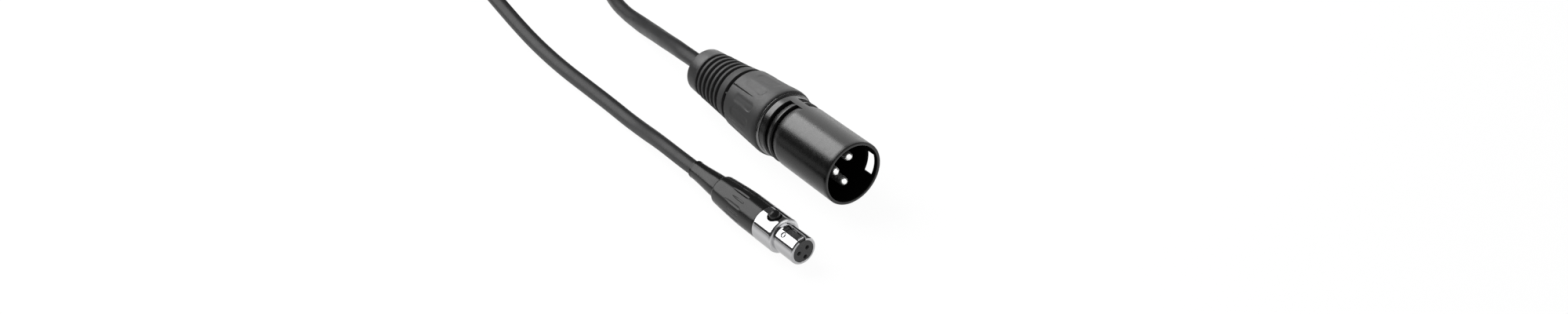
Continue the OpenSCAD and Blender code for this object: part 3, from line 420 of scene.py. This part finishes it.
# A recess is a hollow with one crisp edge, to its left and round its front end, which fades to its right
across = np.radians(beside - np.sign(beside) * recess_clock) * 9.95
along = t - 41.0
corner = 1.25
outside = np.hypot(np.maximum(np.abs(across) - recess_half + corner, 0),
                   np.maximum(np.abs(along) - recess_long + corner, 0)) - corner
blur = np.maximum(ramp(across, -0.4, 1.2), ramp(along, -3.9, -0.4))
recess = ramp(-outside, -0.08 - 0.3 * blur, 0.1 + 0.9 * blur)
from_score = np.radians(30 - np.abs(beside)) * 9.7
reach = np.clip((t - 38.2) / 10.8, 0, 1)
score = 0.35 * np.clip(reach * 3, 0, 1) * np.clip(1 - from_score / (0.1 + 0.18 * reach), 0, 1)
radius = profile[:, :1] - on_side * (recess_depth * recess + score)
bushing_parts = [grid_part(on_plug(xlr_plug, clocks[None, :], radius, t), wrap_rows=True)]


def nub_at(clock):
    """Small round-topped block across the gap: a dome of radius over a patch of clock and distance."""
    u, v = np.meshgrid(np.linspace(-1, 1, 9), np.linspace(-1, 1, 9), indexing="ij")
    swell = (1 - np.abs(u) ** 6) * (1 - np.abs(v) ** 6)
    wide = np.degrees(0.47 / 8.6)
    top = on_plug(xlr_plug, clock + wide * u * (1 - 0.08 * swell), 7.25 + 1.6 * swell, 50.24 + 0.72 * v)
    return grid_part(top, wrap_columns=False)


bushing_parts += [nub_at(clock) for clock in (-60, 30, 120, 210)]
grip_rubber = finish("grip_rubber", (0.031, 0.031, 0.0315), 0.5, 0.16, 0.01,
                     ((0.029, 0.029, 0.0295), (0.033, 0.033, 0.0335)), (0.48, 0.53), 1.2)
bushing = make_piece("xlr_grip", bushing_parts, grip_rubber, "xlr_bushing", ("xlr_bushing",), sharp=50)
# The floor of the gap behind the grip, the feet of its nubs and the rear of its bore take the near-black matt
# finish: painted shade in the gap
cover(bushing, xlr_plug, painted_shade_black, lambda radius, behind: (behind > 49.55) & (radius < 8.0))
edge_metal = finish("edge_metal", (0.26, 0.26, 0.26), 0.25, 0.2, 0.004,
                    ((0.23, 0.23, 0.23), (0.29, 0.29, 0.29)), (0.2, 0.32), 0.8, metal=1.0)
cover(bushing, xlr_plug, edge_metal, lambda radius, behind: (behind < 32.0) & (radius > 9.35))

# ---------------------------------------------------------------- XLR boot
# The soft boot behind the grip bends with the cable. Six deep ring grooves make it flexible, and it
# ends in a smooth collar with a rounded rear edge.
boot_start, boot_end, groove_wide, groove_deep = 51.1, 72.5, 1.32, 1.3
groove_starts = boot_start + 2.93 + 2.36 * np.arange(6)


def boot_radius(t):
    """The ribbed part tapers from 8.95 to 7.5 mm over 17.3 mm, a little hollow in its middle."""
    share = (t - boot_start) / 17.3
    return 8.95 - 1.45 * share - 0.44 * share * (1 - share)


ribs = np.concatenate([[(boot_radius(a), a), (boot_radius(a) - groove_deep, a + 0.05),
                        (boot_radius(a) - groove_deep, a + groove_wide - 0.05),
                        (boot_radius(a + groove_wide), a + groove_wide)] for a in groove_starts])
ribs[-1, 0] = 7.45
collar = [(7.4, 68.3), (7.08, boot_end - 0.15), (6.5, boot_end), (2.6, boot_end), (2.6, 62.1), (3.6, 62.1),
          (3.6, 46.25), (6.2, 46.25), (6.2, 47.25), (4.95, 47.25), (4.95, boot_start), (8.95, boot_start)]
profile = np.vstack([ribs, collar])
radii = np.concatenate([np.full(len(ribs), 0.14), [1.0, 0.35, 0.4, 0.15], np.full(7, 0.1), [0.2]])
boot_rubber = finish("boot_rubber", (0.03, 0.03, 0.0305), 0.62, 0.2, 0.012,
                     ((0.026, 0.026, 0.0265), (0.034, 0.034, 0.0345)), (0.56, 0.68), 2.5)
boot = make_piece("xlr_boot_body", [lathe(xlr_plug, softened(profile, radii, 4))], boot_rubber, "xlr_boot",
                  ("xlr_boot",), sharp=60)
# The floors and lower walls of the ring grooves and the boot's bore take the near-black matt finish: painted shade
# in the grooves
cover(boot, xlr_plug, painted_shade_black, lambda radius, behind: (behind > 53) & (behind < 68) & (
    radius < boot_radius(behind) - 0.75))
collar_rubber = finish("collar_rubber", (0.02, 0.02, 0.0203), 0.4, 0.2, 0.01,
                       ((0.018, 0.018, 0.0183), (0.022, 0.022, 0.0223)), (0.36, 0.44), 2.0)
cover(boot, xlr_plug, collar_rubber, lambda radius, behind: behind > 67.9)
# The ribbed skin sags a little to its rear, and its bore stays on the cable
points = np.empty(len(boot.data.vertices) * 3)
boot.data.vertices.foreach_get("co", points)
points = points.reshape(-1, 3)
from_rim = (points - xlr_plug["rim"]) / MM
off_axis = np.hypot(from_rim[:, 0], from_rim[:, 2])
sag = np.interp(from_rim[:, 1], [51, 57, 72.5], [0, 0.5, 1.15]) * ramp(off_axis, 3.0, 6.0) * MM
sag_left, sag_down = 0.16, 0.38
points[:, 0] -= sag_left * sag
points[:, 2] -= sag_down * sag
boot.data.vertices.foreach_set("co", points.ravel())
boot.data.update()

# ---------------------------------------------------------------- XLR insert and contacts
# A black plastic insert holds three turned contacts with domed tips and solder cups, and carries a
# spring strip that grounds the shell.
insert_black = finish("insert_black", (0.012, 0.012, 0.012), 0.6, 0.2, 0.01,
                      ((0.01, 0.01, 0.01), (0.016, 0.016, 0.016)), (0.55, 0.68), 1.5)


def refinish(names, material):
    """Gives CAD nodes whose shape stays a detailed finish."""
    for name in names:
        slots = frame["nodes"][name].data.materials
        slots.clear()
        slots.append(material)


refinish(["xlr_insert"], insert_black)
silver_plate = finish("silver_plate", (0.94, 0.94, 0.935), 0.31, 0.15, 0.0015,
                      ((0.92, 0.92, 0.915), (0.96, 0.96, 0.955)), (0.27, 0.37), 0.8, metal=1.0)
pin_radius, pin_circle = 1.27, 3.85
for number, clock in ((1, 10), (2, 190), (3, 280)):
    centre = on_plug(xlr_plug, clock, pin_circle, 0)
    dome = np.radians(np.linspace(0, 90, 13))[1:]
    tip = np.column_stack([pin_radius * np.sin(dome), 3.47 - pin_radius * np.cos(dome)])
    rest = softened([(pin_radius, 16.1), (1.5, 16.12), (1.5, 26.1), (1.6, 26.1), (1.6, 28.6), (0.8, 28.6),
                     (0.8, 26.25)], 0.05, 2)
    profile = np.vstack([[[0.001, 2.2]], tip, rest, [[0.001, 26.25]]])
    points, faces = lathe({"rim": centre, "yaw": 0.0}, profile, np.arange(0, 360, 7.5))
    pin = make_piece(f"xlr_contact_{number}", [(points, faces[:-1])], silver_plate, "lead", (f"xlr_pin_{number}",))

# ---------------------------------------------------------------- mini barrel
# The mini plug's turned and chromed body: a thin nose with a latch slot open at its front and a
# screw hole, a wider barrel with the button's hole, and a tail sleeve inside the boot.
nose_radius, nose_bore, nose_end, barrel_radius, barrel_bore = 4.0, 3.45, 7.9, 5.05, 3.9
slot = {"clock": -7, "half": np.degrees(np.arcsin(1.2 / 4.0)), "end": 7.0}
screw = {"clock": -37.2, "t": 5.4, "r": 0.82, "clocks": (-61, slot["clock"] - slot["half"]), "ts": (3.9, 6.9)}
button = {"clock": -7, "t": 11.45, "r": 2.05, "clocks": (-47, 33), "ts": (8.72, 14.3)}
slot_left, slot_right = slot["clock"] - slot["half"], slot["clock"] + slot["half"]
clocks = spread((-61, -47, 8), (-47, slot_left, 12), (slot_left, slot_right, 18), (slot_right, 33, 12),
                (33, 299, 70))[:-1]


def sleeve_patch(radius, t, keep):
    """Part of a cylinder wall: a grid of the shared clock angles and distances t, less the cells
    whose middle keep(clock, t) leaves out."""
    points = on_plug(mini_plug, clocks[None, :], np.broadcast_to(radius, len(t))[:, None], t[:, None])
    faces = grid_faces(len(t), len(clocks))
    after = np.append(clocks[1:], clocks[0] + 360)
    mid_clock = np.broadcast_to((clocks + after)[None, :] / 2, faces.shape[:2])
    mid_t = np.broadcast_to((t[:-1] + t[1:])[:, None] / 2, faces.shape[:2])
    return points, faces[keep(mid_clock, mid_t)]


def hole_rings(hole, t, rings=6):
    """Rings of clock angles and distances on a cylinder wall, from a drilled hole's edge to the cells'
    edge round it. They are the same on both faces of the wall, so the hole narrows inwards a little."""
    low, high = hole["clocks"]
    c = clocks[(clocks >= low - 1e-5) & (clocks <= high + 1e-5)]
    s = t[(t >= hole["ts"][0] - 1e-5) & (t <= hole["ts"][1] + 1e-5)]
    edge_clock = np.concatenate([c[:-1], np.full(len(s) - 1, c[-1]), c[:0:-1], np.full(len(s) - 1, c[0])])
    edge_t = np.concatenate([np.full(len(c) - 1, s[0]), s[:-1], np.full(len(c) - 1, s[-1]), s[:0:-1]])
    outer = nose_radius if hole is screw else barrel_radius
    turn = np.arctan2(edge_t - hole["t"], np.radians(edge_clock - hole["clock"]) * outer)
    rim_clock = hole["clock"] + np.degrees(np.arcsin(hole["r"] * np.cos(turn) / outer))
    rim_t = hole["t"] + hole["r"] * np.sin(turn)
    share = np.linspace(0, 1, rings)[:, None] ** 1.3
    return (rim_clock + (edge_clock - rim_clock) * share), (rim_t + (edge_t - rim_t) * share)


def pierced(hole, outer_radius, inner_radius, t):
    """The wall round a drilled hole: its outer and inner surfaces and the wall of the hole."""
    rings = hole_rings(hole, t)
    outer, inner = (on_plug(mini_plug, rings[0], radius, rings[1]) for radius in (outer_radius, inner_radius))
    return [grid_part(outer), grid_part(inner), grid_part(np.stack([outer[0], inner[0]]))]


nose_t = spread((0.5, 3.9, 5), (3.9, 6.9, 10), (6.9, 7.0, 1), (7.0, 7.9, 2))


def off_patch(hole, c, t):
    """Whether cells at clock angles c and distances t lie off the patch that a drilled hole's rings fill."""
    return ~((c > hole["clocks"][0]) & (c < hole["clocks"][1]) & (t > hole["ts"][0]) & (t < hole["ts"][1]))


def on_nose(c, t):
    """Whether cells are part of the nose's wall, off the latch slot and the screw hole."""
    return ~((np.abs(c - slot["clock"]) < slot["half"]) & (t < slot["end"])) & off_patch(screw, c, t)


def on_barrel(c, t):
    """Whether cells are part of the barrel's wall, off the button's hole."""
    return off_patch(button, c, t)


barrel_t = spread((8.72, 14.3, 14), (14.3, 15.5, 3))
inner_nose_t = np.append(nose_t[:-1], [7.9, 8.6])
parts = [sleeve_patch(nose_radius, nose_t, on_nose), sleeve_patch(nose_bore, inner_nose_t, on_nose),
         sleeve_patch(barrel_radius, barrel_t, on_barrel),
         sleeve_patch(barrel_bore, np.append(barrel_t, [23.6]), on_barrel)]
parts += pierced(screw, nose_radius, nose_bore, nose_t)
parts += pierced(button, barrel_radius, barrel_bore, barrel_t)
# Rounded front edge of the nose, from the outer wall round the lip to the bore
arc = np.radians(np.linspace(0, 90, 8))
rim = np.vstack([[(nose_radius, 0.5)], np.column_stack([3.55 + 0.45 * np.cos(arc), 0.45 - 0.45 * np.sin(arc)]),
                 [(3.23, 0), (3.2, 0.03), (3.2, 0.25), (nose_bore, 0.25), (nose_bore, 0.5)]])
points, faces = grid_part(on_plug(mini_plug, clocks[None, :], rim[:, :1], rim[:, 1:]))
mid = (clocks + np.append(clocks[1:], clocks[0] + 360)) / 2
parts.append((points, faces[:, np.abs(mid - slot["clock"]) >= slot["half"]]))
# Side walls of the slot with the rim's end faces, fanned from the lip's inner corner, and its rear wall
both_walls = np.array([[nose_radius], [nose_bore]])
slot_t = nose_t[nose_t <= slot["end"]]
hub = len(rim) - 2
fan = [[hub, k, k + 1] for k in range(hub - 1)] + [[hub, hub + 1, 0]]
for clock in (slot_left, slot_right):
    parts.append(grid_part(on_plug(mini_plug, clock, both_walls, slot_t[None, :]), wrap_columns=False))
    parts.append((on_plug(mini_plug, clock, rim[:, 0], rim[:, 1]), fan))
across_slot = clocks[(clocks >= slot_left - 1e-5) & (clocks <= slot_right + 1e-5)]
parts.append(grid_part(on_plug(mini_plug, across_slot[None, :], both_walls, slot["end"]), wrap_columns=False))
# Step between nose and barrel, then the rest of the outside and the bore's ends
arc = np.radians(np.linspace(0, 90, 9))
step = np.column_stack([barrel_radius - 0.8 + 0.8 * np.sin(arc), nose_end + 0.82 * (1 - np.cos(arc))])
step = np.vstack([[(nose_radius, nose_end), (4.12, nose_end)], step])
tail = np.array([(barrel_radius, 15.5), (barrel_radius - 0.03, 15.57), (barrel_radius - 0.1, 15.6), (4.4, 15.6),
                 (4.4, 23.6), (4.3, 23.7), (4.0, 23.7), (barrel_bore, 23.6)])
inner_step = np.array([(nose_bore, 8.6), (barrel_bore, 8.6), (barrel_bore, 8.72)])
parts += [grid_part(on_plug(mini_plug, clocks[None, :], shape[:, :1], shape[:, 1:]))
          for shape in (step, tail, inner_step)]
chrome = finish("chrome", (0.6, 0.6, 0.61), 0.06, 0.8, 0.0006,
                ((0.57, 0.57, 0.58), (0.62, 0.62, 0.63)), (0.05, 0.1), 2.5, metal=1.0)
barrel = make_piece("mini_body", parts, chrome, "lead", ("mini_barrel",), bevel=0.05, bevel_from=45, merge=3e-6)
chrome_matt = finish("chrome_matt", (0.78, 0.78, 0.79), 0.42, 0.3, 0.002,
                     ((0.74, 0.74, 0.75), (0.82, 0.82, 0.83)), (0.36, 0.48), 0.8, metal=1.0)
cover(barrel, mini_plug, chrome_matt, lambda radius, behind: (behind > 7.93) & (behind < 8.66) & (
    radius > 4.1) & (radius < 5.03))

# ---------------------------------------------------------------- mini insert and sockets
# A grey plastic insert fills the nose. It has a groove for the latch and holds three gold-plated
# sockets, whose mouths show as dark holes in its face.
insert_grey = finish("insert_grey", (0.055, 0.055, 0.056), 0.5, 0.2, 0.01,
                     ((0.045, 0.045, 0.046), (0.065, 0.065, 0.066)), (0.45, 0.6), 1.0)
gold_plate = finish("gold_plate", (0.8, 0.6, 0.25), 0.25, 0.3, 0.002,
                    ((0.75, 0.56, 0.22), (0.84, 0.64, 0.3)), (0.2, 0.32), 0.8, metal=1.0)
refinish(["mini_insert"], insert_grey)
refinish(["mini_socket_1", "mini_socket_2", "mini_socket_3"], gold_plate)
# A near-black matt collar lines the mouth of each socket's bore: painted shade that makes the mouths read as dark
# holes
shade_collar_line = np.array([(0.74, 0.09), (0.74, 1.1), (0.64, 1.1), (0.6, 0.16)])
for number, (out, clock) in enumerate(((1.4178, 59.79), (2.1, 162), (1.4177, -95.78)), 1):
    socket_axis = {"rim": on_plug(mini_plug, clock, out, 0), "yaw": mini_plug["yaw"]}
    make_piece(f"mini_painted_shade_{number}", [lathe(socket_axis, shade_collar_line, np.arange(0, 360, 10))], painted_shade_black, "lead",
               sharp=40)

# ---------------------------------------------------------------- mini latch and button
# A bent steel tongue with a hook at its front turns on a cross pin. A black plastic arm on it ends
# in the domed button that stands in the barrel's hole.
latch_steel = finish("latch_steel", (0.62, 0.62, 0.63), 0.25, 0.4, 0.003,
                     ((0.56, 0.56, 0.57), (0.68, 0.68, 0.69)), (0.2, 0.34), 0.8, metal=1.0, stretch=(1, 0.1, 1))
refinish(["mini_latch_pin"], latch_steel)


def on_radius(clock, behind, round_clock, radius, height):
    """Points of a turned part that stands on a line out from the mini plug's axis: a turn about that
    line, a radius from it and a height over the plug's axis, all in mm and degrees."""
    turn, clock = np.radians(round_clock), np.radians(clock)
    side, ahead = radius * np.cos(turn), radius * np.sin(turn)
    across = height * np.sin(clock) + side * np.cos(clock)
    up = height * np.cos(clock) - side * np.sin(clock)
    return on_plug(mini_plug, np.degrees(np.arctan2(across, up)), np.hypot(across, up), behind + ahead)


def turned_part(clock, behind, profile):
    """Closed turned part: a profile of (radius, height), from its tip to its foot, round that line."""
    return grid_part(on_radius(clock, behind, np.arange(0, 360, 7.5)[None, :], profile[:, :1], profile[:, 1:]))


def across_latch(line, half):
    """A strip of even width across the latch: a closed line of (behind, height) drawn out to a half
    width on both sides and capped."""
    left, right = (on_radius(slot["clock"], line[:, 0], turn, half, line[:, 1]) for turn in (180, 0))
    cap = [list(range(len(line)))]
    return [grid_part(np.stack([left, right])), (left, cap), (right, cap)]


hook = softened([(0.57, 2.61), (0.57, 3.95), (1.35, 3.95), (1.35, 2.95), (20.7, 2.95), (20.7, 2.61)],
                [0.03, 0.25, 0.25, 0.1, 0.05, 0.05], 5)
turn = np.radians(np.arange(0, 360, 15))
boss = np.column_stack([21 + 0.75 * np.cos(turn), 2.8 + 0.75 * np.sin(turn)])
blade = make_piece("mini_latch_blade", across_latch(hook, 0.9) + across_latch(boss, 0.88), latch_steel,
                   "mini_latch", ("mini_latch",), sharp=50)
button_black = finish("button_black", (0.012, 0.012, 0.012), 0.26, 0.4, 0.003,
                      ((0.01, 0.01, 0.01), (0.014, 0.014, 0.014)), (0.22, 0.32), 1.5)
dome = np.radians(np.linspace(0, 90, 13))[1:]
cap = np.vstack([[(0.001, 6.7)], np.column_stack([1.5 * np.sin(dome), 5.3 + 1.4 * np.cos(dome)]),
                 [(1.5, 4.2), (1.5, 2.97), (0.001, 2.97)]])
# The arm is stepped: its front pad and the part by the button stand higher than its waist
arm = softened([(1.6, 2.97), (1.6, 3.6), (3.8, 3.6), (3.8, 3.2), (6.2, 3.2), (6.2, 3.5), (11.45, 3.5),
                (11.45, 2.97)], 0.06, 2)
button_parts = [turned_part(button["clock"], button["t"], cap)] + across_latch(arm, 0.88)
button_cap = make_piece("mini_button_cap", button_parts, button_black, "mini_latch", ("mini_button",), sharp=50)
arm_black = finish("arm_black", (0.05, 0.05, 0.05), 0.45, 0.4, 0.003,
                   ((0.04, 0.04, 0.04), (0.06, 0.06, 0.06)), (0.38, 0.52), 1.5)
cover(button_cap, mini_plug, arm_black, lambda radius, behind: behind < 9.0)
rivet_head = np.vstack([[(0.001, 3.9)], np.column_stack([0.75 * np.sin(dome), 3.62 + 0.28 * np.cos(dome)]),
                        [(0.75, 3.3), (0.001, 3.3)]])
rivet = make_piece("mini_rivet", [turned_part(screw["clock"], screw["t"], rivet_head)], chrome, "lead",
                   ("mini_lock_screw",), sharp=50)

# ---------------------------------------------------------------- mini boot
# The mini plug's black plastic boot swells slightly and tapers to a round shoulder. Sixteen thumb
# grooves, long and short by turns, run along it.
boot_front, boot_back = 15.65, 35.8
side_t = spread((15.75, 21.9, 8), (21.9, 23.1, 12), (23.1, 24.9, 6), (24.9, 29.4, 30), (29.4, 34.6, 8))


def mini_boot_radius(t):
    """Almost level at 4.96 mm over the front third, then falls ever faster to 4.26 mm at 35 mm."""
    return 4.97 - 0.7 * np.clip((t - 22) / 13, 0, 1.1) ** 1.5


side_line = np.column_stack([mini_boot_radius(side_t), side_t])
shoulder_angle = np.radians(np.linspace(0, 90, 8))
shoulder = np.column_stack([4.27 - 0.85 * (1 - np.cos(shoulder_angle)),
                            boot_back - 0.85 * (1 - np.sin(shoulder_angle))])
inside = np.array([(3.0, boot_back), (3.0, 28.3), (4.45, 28.3), (4.45, boot_front), (4.95, boot_front)])
profile = np.vstack([side_line, shoulder, inside])
leaf = spread((-11.25, -6.2, 4), (-6.2, 6.2, 18), (6.2, 11.25, 4))[:-1]
clocks = (-12 + 22.5 * np.arange(16)[:, None] + leaf[None, :]).ravel()
leaf_end = 22.1 + np.repeat(np.where(np.arange(16) % 2 == 0, 7.1, 5.3), len(leaf))[None, :]
t = profile[:, 1:]
# A groove is a cosine hollow: blunt at its front end and drawn out to a point at its rear
from_front = np.clip((t - 22.1) / 0.8, 0, 1)
half_wide = 0.5 * np.minimum(np.sqrt(from_front * (2 - from_front)), np.clip((leaf_end - t) / 2.6, 0, 1) ** 0.7)
across = np.radians(np.abs(np.tile(leaf, 16)))[None, :] * 4.9
hollow = 0.5 + 0.5 * np.cos(np.pi * np.clip(across / np.maximum(half_wide, 1e-3), 0, 1))
on_side = (np.arange(len(profile)) < len(side_line))[:, None]
radius = profile[:, :1] - 0.17 * hollow * np.sqrt(half_wide / 0.5) * on_side
boot_skin = grid_part(on_plug(mini_plug, clocks[None, :], radius, t), wrap_rows=True)
boot_plastic = finish("boot_plastic", (0.01, 0.01, 0.01), 0.2, 0.2, 0.005,
                      ((0.008, 0.008, 0.008), (0.012, 0.012, 0.012)), (0.17, 0.24), 2.0)
mini_boot = make_piece("mini_boot_body", [boot_skin], boot_plastic, "mini_boot", ("mini_boot",), sharp=50)

# ---------------------------------------------------------------- mini strain relief
# A soft rubber sleeve stands out of the boot, tapers along the cable and ends in a slight bead.
profile = softened([(3.4, 35.8), (3.26, 39), (3.08, 41), (2.9, 43), (2.74, 45), (2.62, 47), (2.6, 47.8),
                    (2.68, 48.3), (2.66, 48.6), (2.3, 48.6), (2.3, 28.7), (2.95, 28.7), (2.95, 35.8)],
                   [0.1, 1, 1, 1, 1, 1, 0.5, 0.3, 0.12, 0.08, 0.1, 0.1, 0.05], 5)
sleeve = make_piece("mini_sleeve_body", [lathe(mini_plug, profile, np.arange(0, 360, 3.75))], boot_plastic,
                    "mini_boot", ("mini_sleeve",), sharp=50)

# ---------------------------------------------------------------- inner parts
# Out of sight: the ground strip, the cable clamp, the crimp ring and the insulated wires.
refinish(["xlr_ground_contact"], gold_plate)
clamp_plastic = finish("clamp_plastic", (0.12, 0.12, 0.125), 0.5, 0.3, 0.01,
                       ((0.1, 0.1, 0.105), (0.14, 0.14, 0.145)), (0.45, 0.6), 2)
refinish(["xlr_cable_clamp"], clamp_plastic)
crimp_metal = finish("crimp_metal", (0.7, 0.7, 0.72), 0.35, 0.3, 0.004,
                     ((0.64, 0.64, 0.66), (0.74, 0.74, 0.76)), (0.3, 0.42), 1, metal=1.0)
refinish(["mini_cable_clamp"], crimp_metal)
for number, name, colour in ((1, "wire_red", (0.4, 0.03, 0.03)), (2, "wire_white", (0.7, 0.7, 0.68)),
                             (3, "wire_copper", (0.7, 0.4, 0.25))):
    darker = tuple(0.85 * c for c in colour)
    wire = finish(name, colour, 0.4, 0.3, 0.004, (darker, colour), (0.35, 0.45), 1, metal=float(number == 3))
    refinish([f"xlr_wire_{number}", f"mini_wire_{number}"], wire)

# ---------------------------------------------------------------- floor and studio
# A white table, a dim room that is lighter behind the camera, and five soft lamps: a key lamp for each
# plug, one on the XLR plug's right, one in front of the mini plug's metal and one before the XLR pins.
floor_mesh = bpy.data.meshes.new("floor")
floor_mesh.from_pydata([(-4, -4, 0), (4, -4, 0), (4, 4, 0), (-4, 4, 0)], [], [(0, 1, 2, 3)])
floor = bpy.data.objects.new("floor", floor_mesh)
bpy.context.scene.collection.objects.link(floor)
floor_white = bpy.data.materials.new("floor_white")
floor_white.use_nodes = True
tree = floor_white.node_tree
tree.nodes.clear()
seen = add_node(tree, "LightPath").outputs
# The camera sees almost pure white over a matt floor that keeps the shadows
white = add_node(tree, "Emission", {"Strength": 1.0})
matt = add_node(tree, "BsdfDiffuse", {"Color": (0.9, 0.9, 0.9, 1)})
table = add_node(tree, "MixShader", {"Fac": 0.95, 1: matt.outputs[0], 2: white.outputs[0]})
# In shiny surfaces the floor glows with a painted reflection: full brightness from the XLR plug rightwards, dimmer
# by the mini plug with a lighter band just left of it, falling off to a dim room on their left
apart = add_node(tree, "SeparateXYZ", {0: add_node(tree, "TexCoord").outputs["Object"]})
leftwards = add_node(tree, "MapRange", {"From Min": 0.01, "From Max": -0.39, "To Min": 0, "To Max": 1,
                                        "Value": apart.outputs["X"]})
falls = add_node(tree, "ValToRGB", {"Fac": leftwards.outputs[0]})
for place, level in ((0, 1.0), (0.03, 0.72), (0.08, 0.68), (0.1, 0.88), (0.14, 0.66), (0.2, 0.42), (0.33, 0.24),
                     (1, 0.1)):
    stop = falls.color_ramp.elements.new(place)
    stop.color = (level, level, level, 1)
falls.color_ramp.elements.remove(falls.color_ramp.elements[0])
falls.color_ramp.elements.remove(falls.color_ramp.elements[-1])
painted_reflection = add_node(tree, "Emission", {"Color": falls.outputs["Color"]})
grey = add_node(tree, "BsdfDiffuse", {"Color": (0.45, 0.45, 0.45, 1)})
unseen = add_node(tree, "MixShader", {"Fac": seen["Is Glossy Ray"], 1: grey.outputs[0], 2: painted_reflection.outputs[0]})
both = add_node(tree, "MixShader", {"Fac": seen["Is Camera Ray"], 1: unseen.outputs[0], 2: table.outputs[0]})
add_node(tree, "OutputMaterial", {"Surface": both.outputs[0]})
floor_mesh.materials.append(floor_white)

world = bpy.data.worlds.new("studio")
bpy.context.scene.world = world
world.use_nodes = True
tree = world.node_tree
tree.nodes.clear()
seen = add_node(tree, "LightPath").outputs
apart = add_node(tree, "SeparateXYZ", {0: add_node(tree, "TexCoord").outputs["Generated"]})
room = add_node(tree, "MapRange", {"From Min": -0.1, "From Max": 0.35, "To Min": 0.8, "To Max": 0.07,
                                   "Value": apart.outputs["Y"]}, interpolation_type="SMOOTHSTEP")
shiny = add_node(tree, "Mix", {"Factor": seen["Is Glossy Ray"], "A": room.outputs[0], "B": 0.08})
level = add_node(tree, "Mix", {"Factor": seen["Is Camera Ray"], "A": shiny.outputs["Result"], "B": 1.0})
light = add_node(tree, "Background", {"Strength": level.outputs["Result"]})
add_node(tree, "OutputWorld", {"Surface": light.outputs[0]})

lit_sets = {name: bpy.data.collections.new(name) for name in ("xlr_side", "mini_side", "mini_metal", "contacts")}
for thing in list(bpy.context.scene.objects):
    if thing.type == "MESH":
        if thing.name.startswith("xlr") or thing is floor:
            lit_sets["xlr_side"].objects.link(thing)
        if not thing.name.startswith("xlr"):
            lit_sets["mini_side"].objects.link(thing)
        if thing.name in ("mini_body", "mini_latch_blade", "mini_rivet"):
            lit_sets["mini_metal"].objects.link(thing)
        if thing.name.startswith("xlr_contact"):
            lit_sets["contacts"].objects.link(thing)


def soft_lamp(name, middle, away, wide, tall, radiance, lit):
    """A square-edged soft lamp that stands 0.6 m from a point in a direction and lights one set of
    things. Its width lies across the plugs."""
    facing = Vector(away).normalized()
    across = Vector((facing.z, 0, -facing.x)).normalized()
    lamp = bpy.data.lights.new(name, "AREA")
    lamp.shape = "RECTANGLE"
    lamp.size, lamp.size_y = wide, tall
    lamp.energy = 4 * wide * tall * radiance
    holder = bpy.data.objects.new(name, lamp)
    bpy.context.scene.collection.objects.link(holder)
    up = facing.cross(across)
    holder.matrix_world = (Matrix.Translation(Vector(middle) + 0.6 * facing)
                           @ Matrix((across, up, facing)).transposed().to_4x4())
    holder.light_linking.receiver_collection = lit_sets[lit]


def over_tube(angle):
    """Direction in which a tube along Y mirrors the camera, at an angle about Y from the zenith to
    the right."""
    turn = np.radians(angle)
    return 0.731 * np.sin(turn), 0.682, 0.731 * np.cos(turn)


soft_lamp("mini_key", (-0.017, -0.02, 0.005), over_tube(-34.3), 0.72, 0.44, 2.05, "mini_side")
soft_lamp("xlr_key", (0.011, 0.01, 0.01), over_tube(-18.2), 0.492, 0.38, 5.2, "xlr_side")
soft_lamp("xlr_fill", (0.011, 0.01, 0.01), over_tube(51), 0.736, 0.44, 1.1, "xlr_side")
soft_lamp("mini_front", (-0.016, -0.04, 0.005), (0.45, -0.55, 0.7), 0.5, 0.5, 1.3, "mini_metal")
soft_lamp("contact_front", (0.011, -0.027, 0.01), (-0.12, -0.85, 0.3), 1.6, 1.3, 1.8, "contacts")
bpy.context.scene.view_settings.view_transform = "Standard"
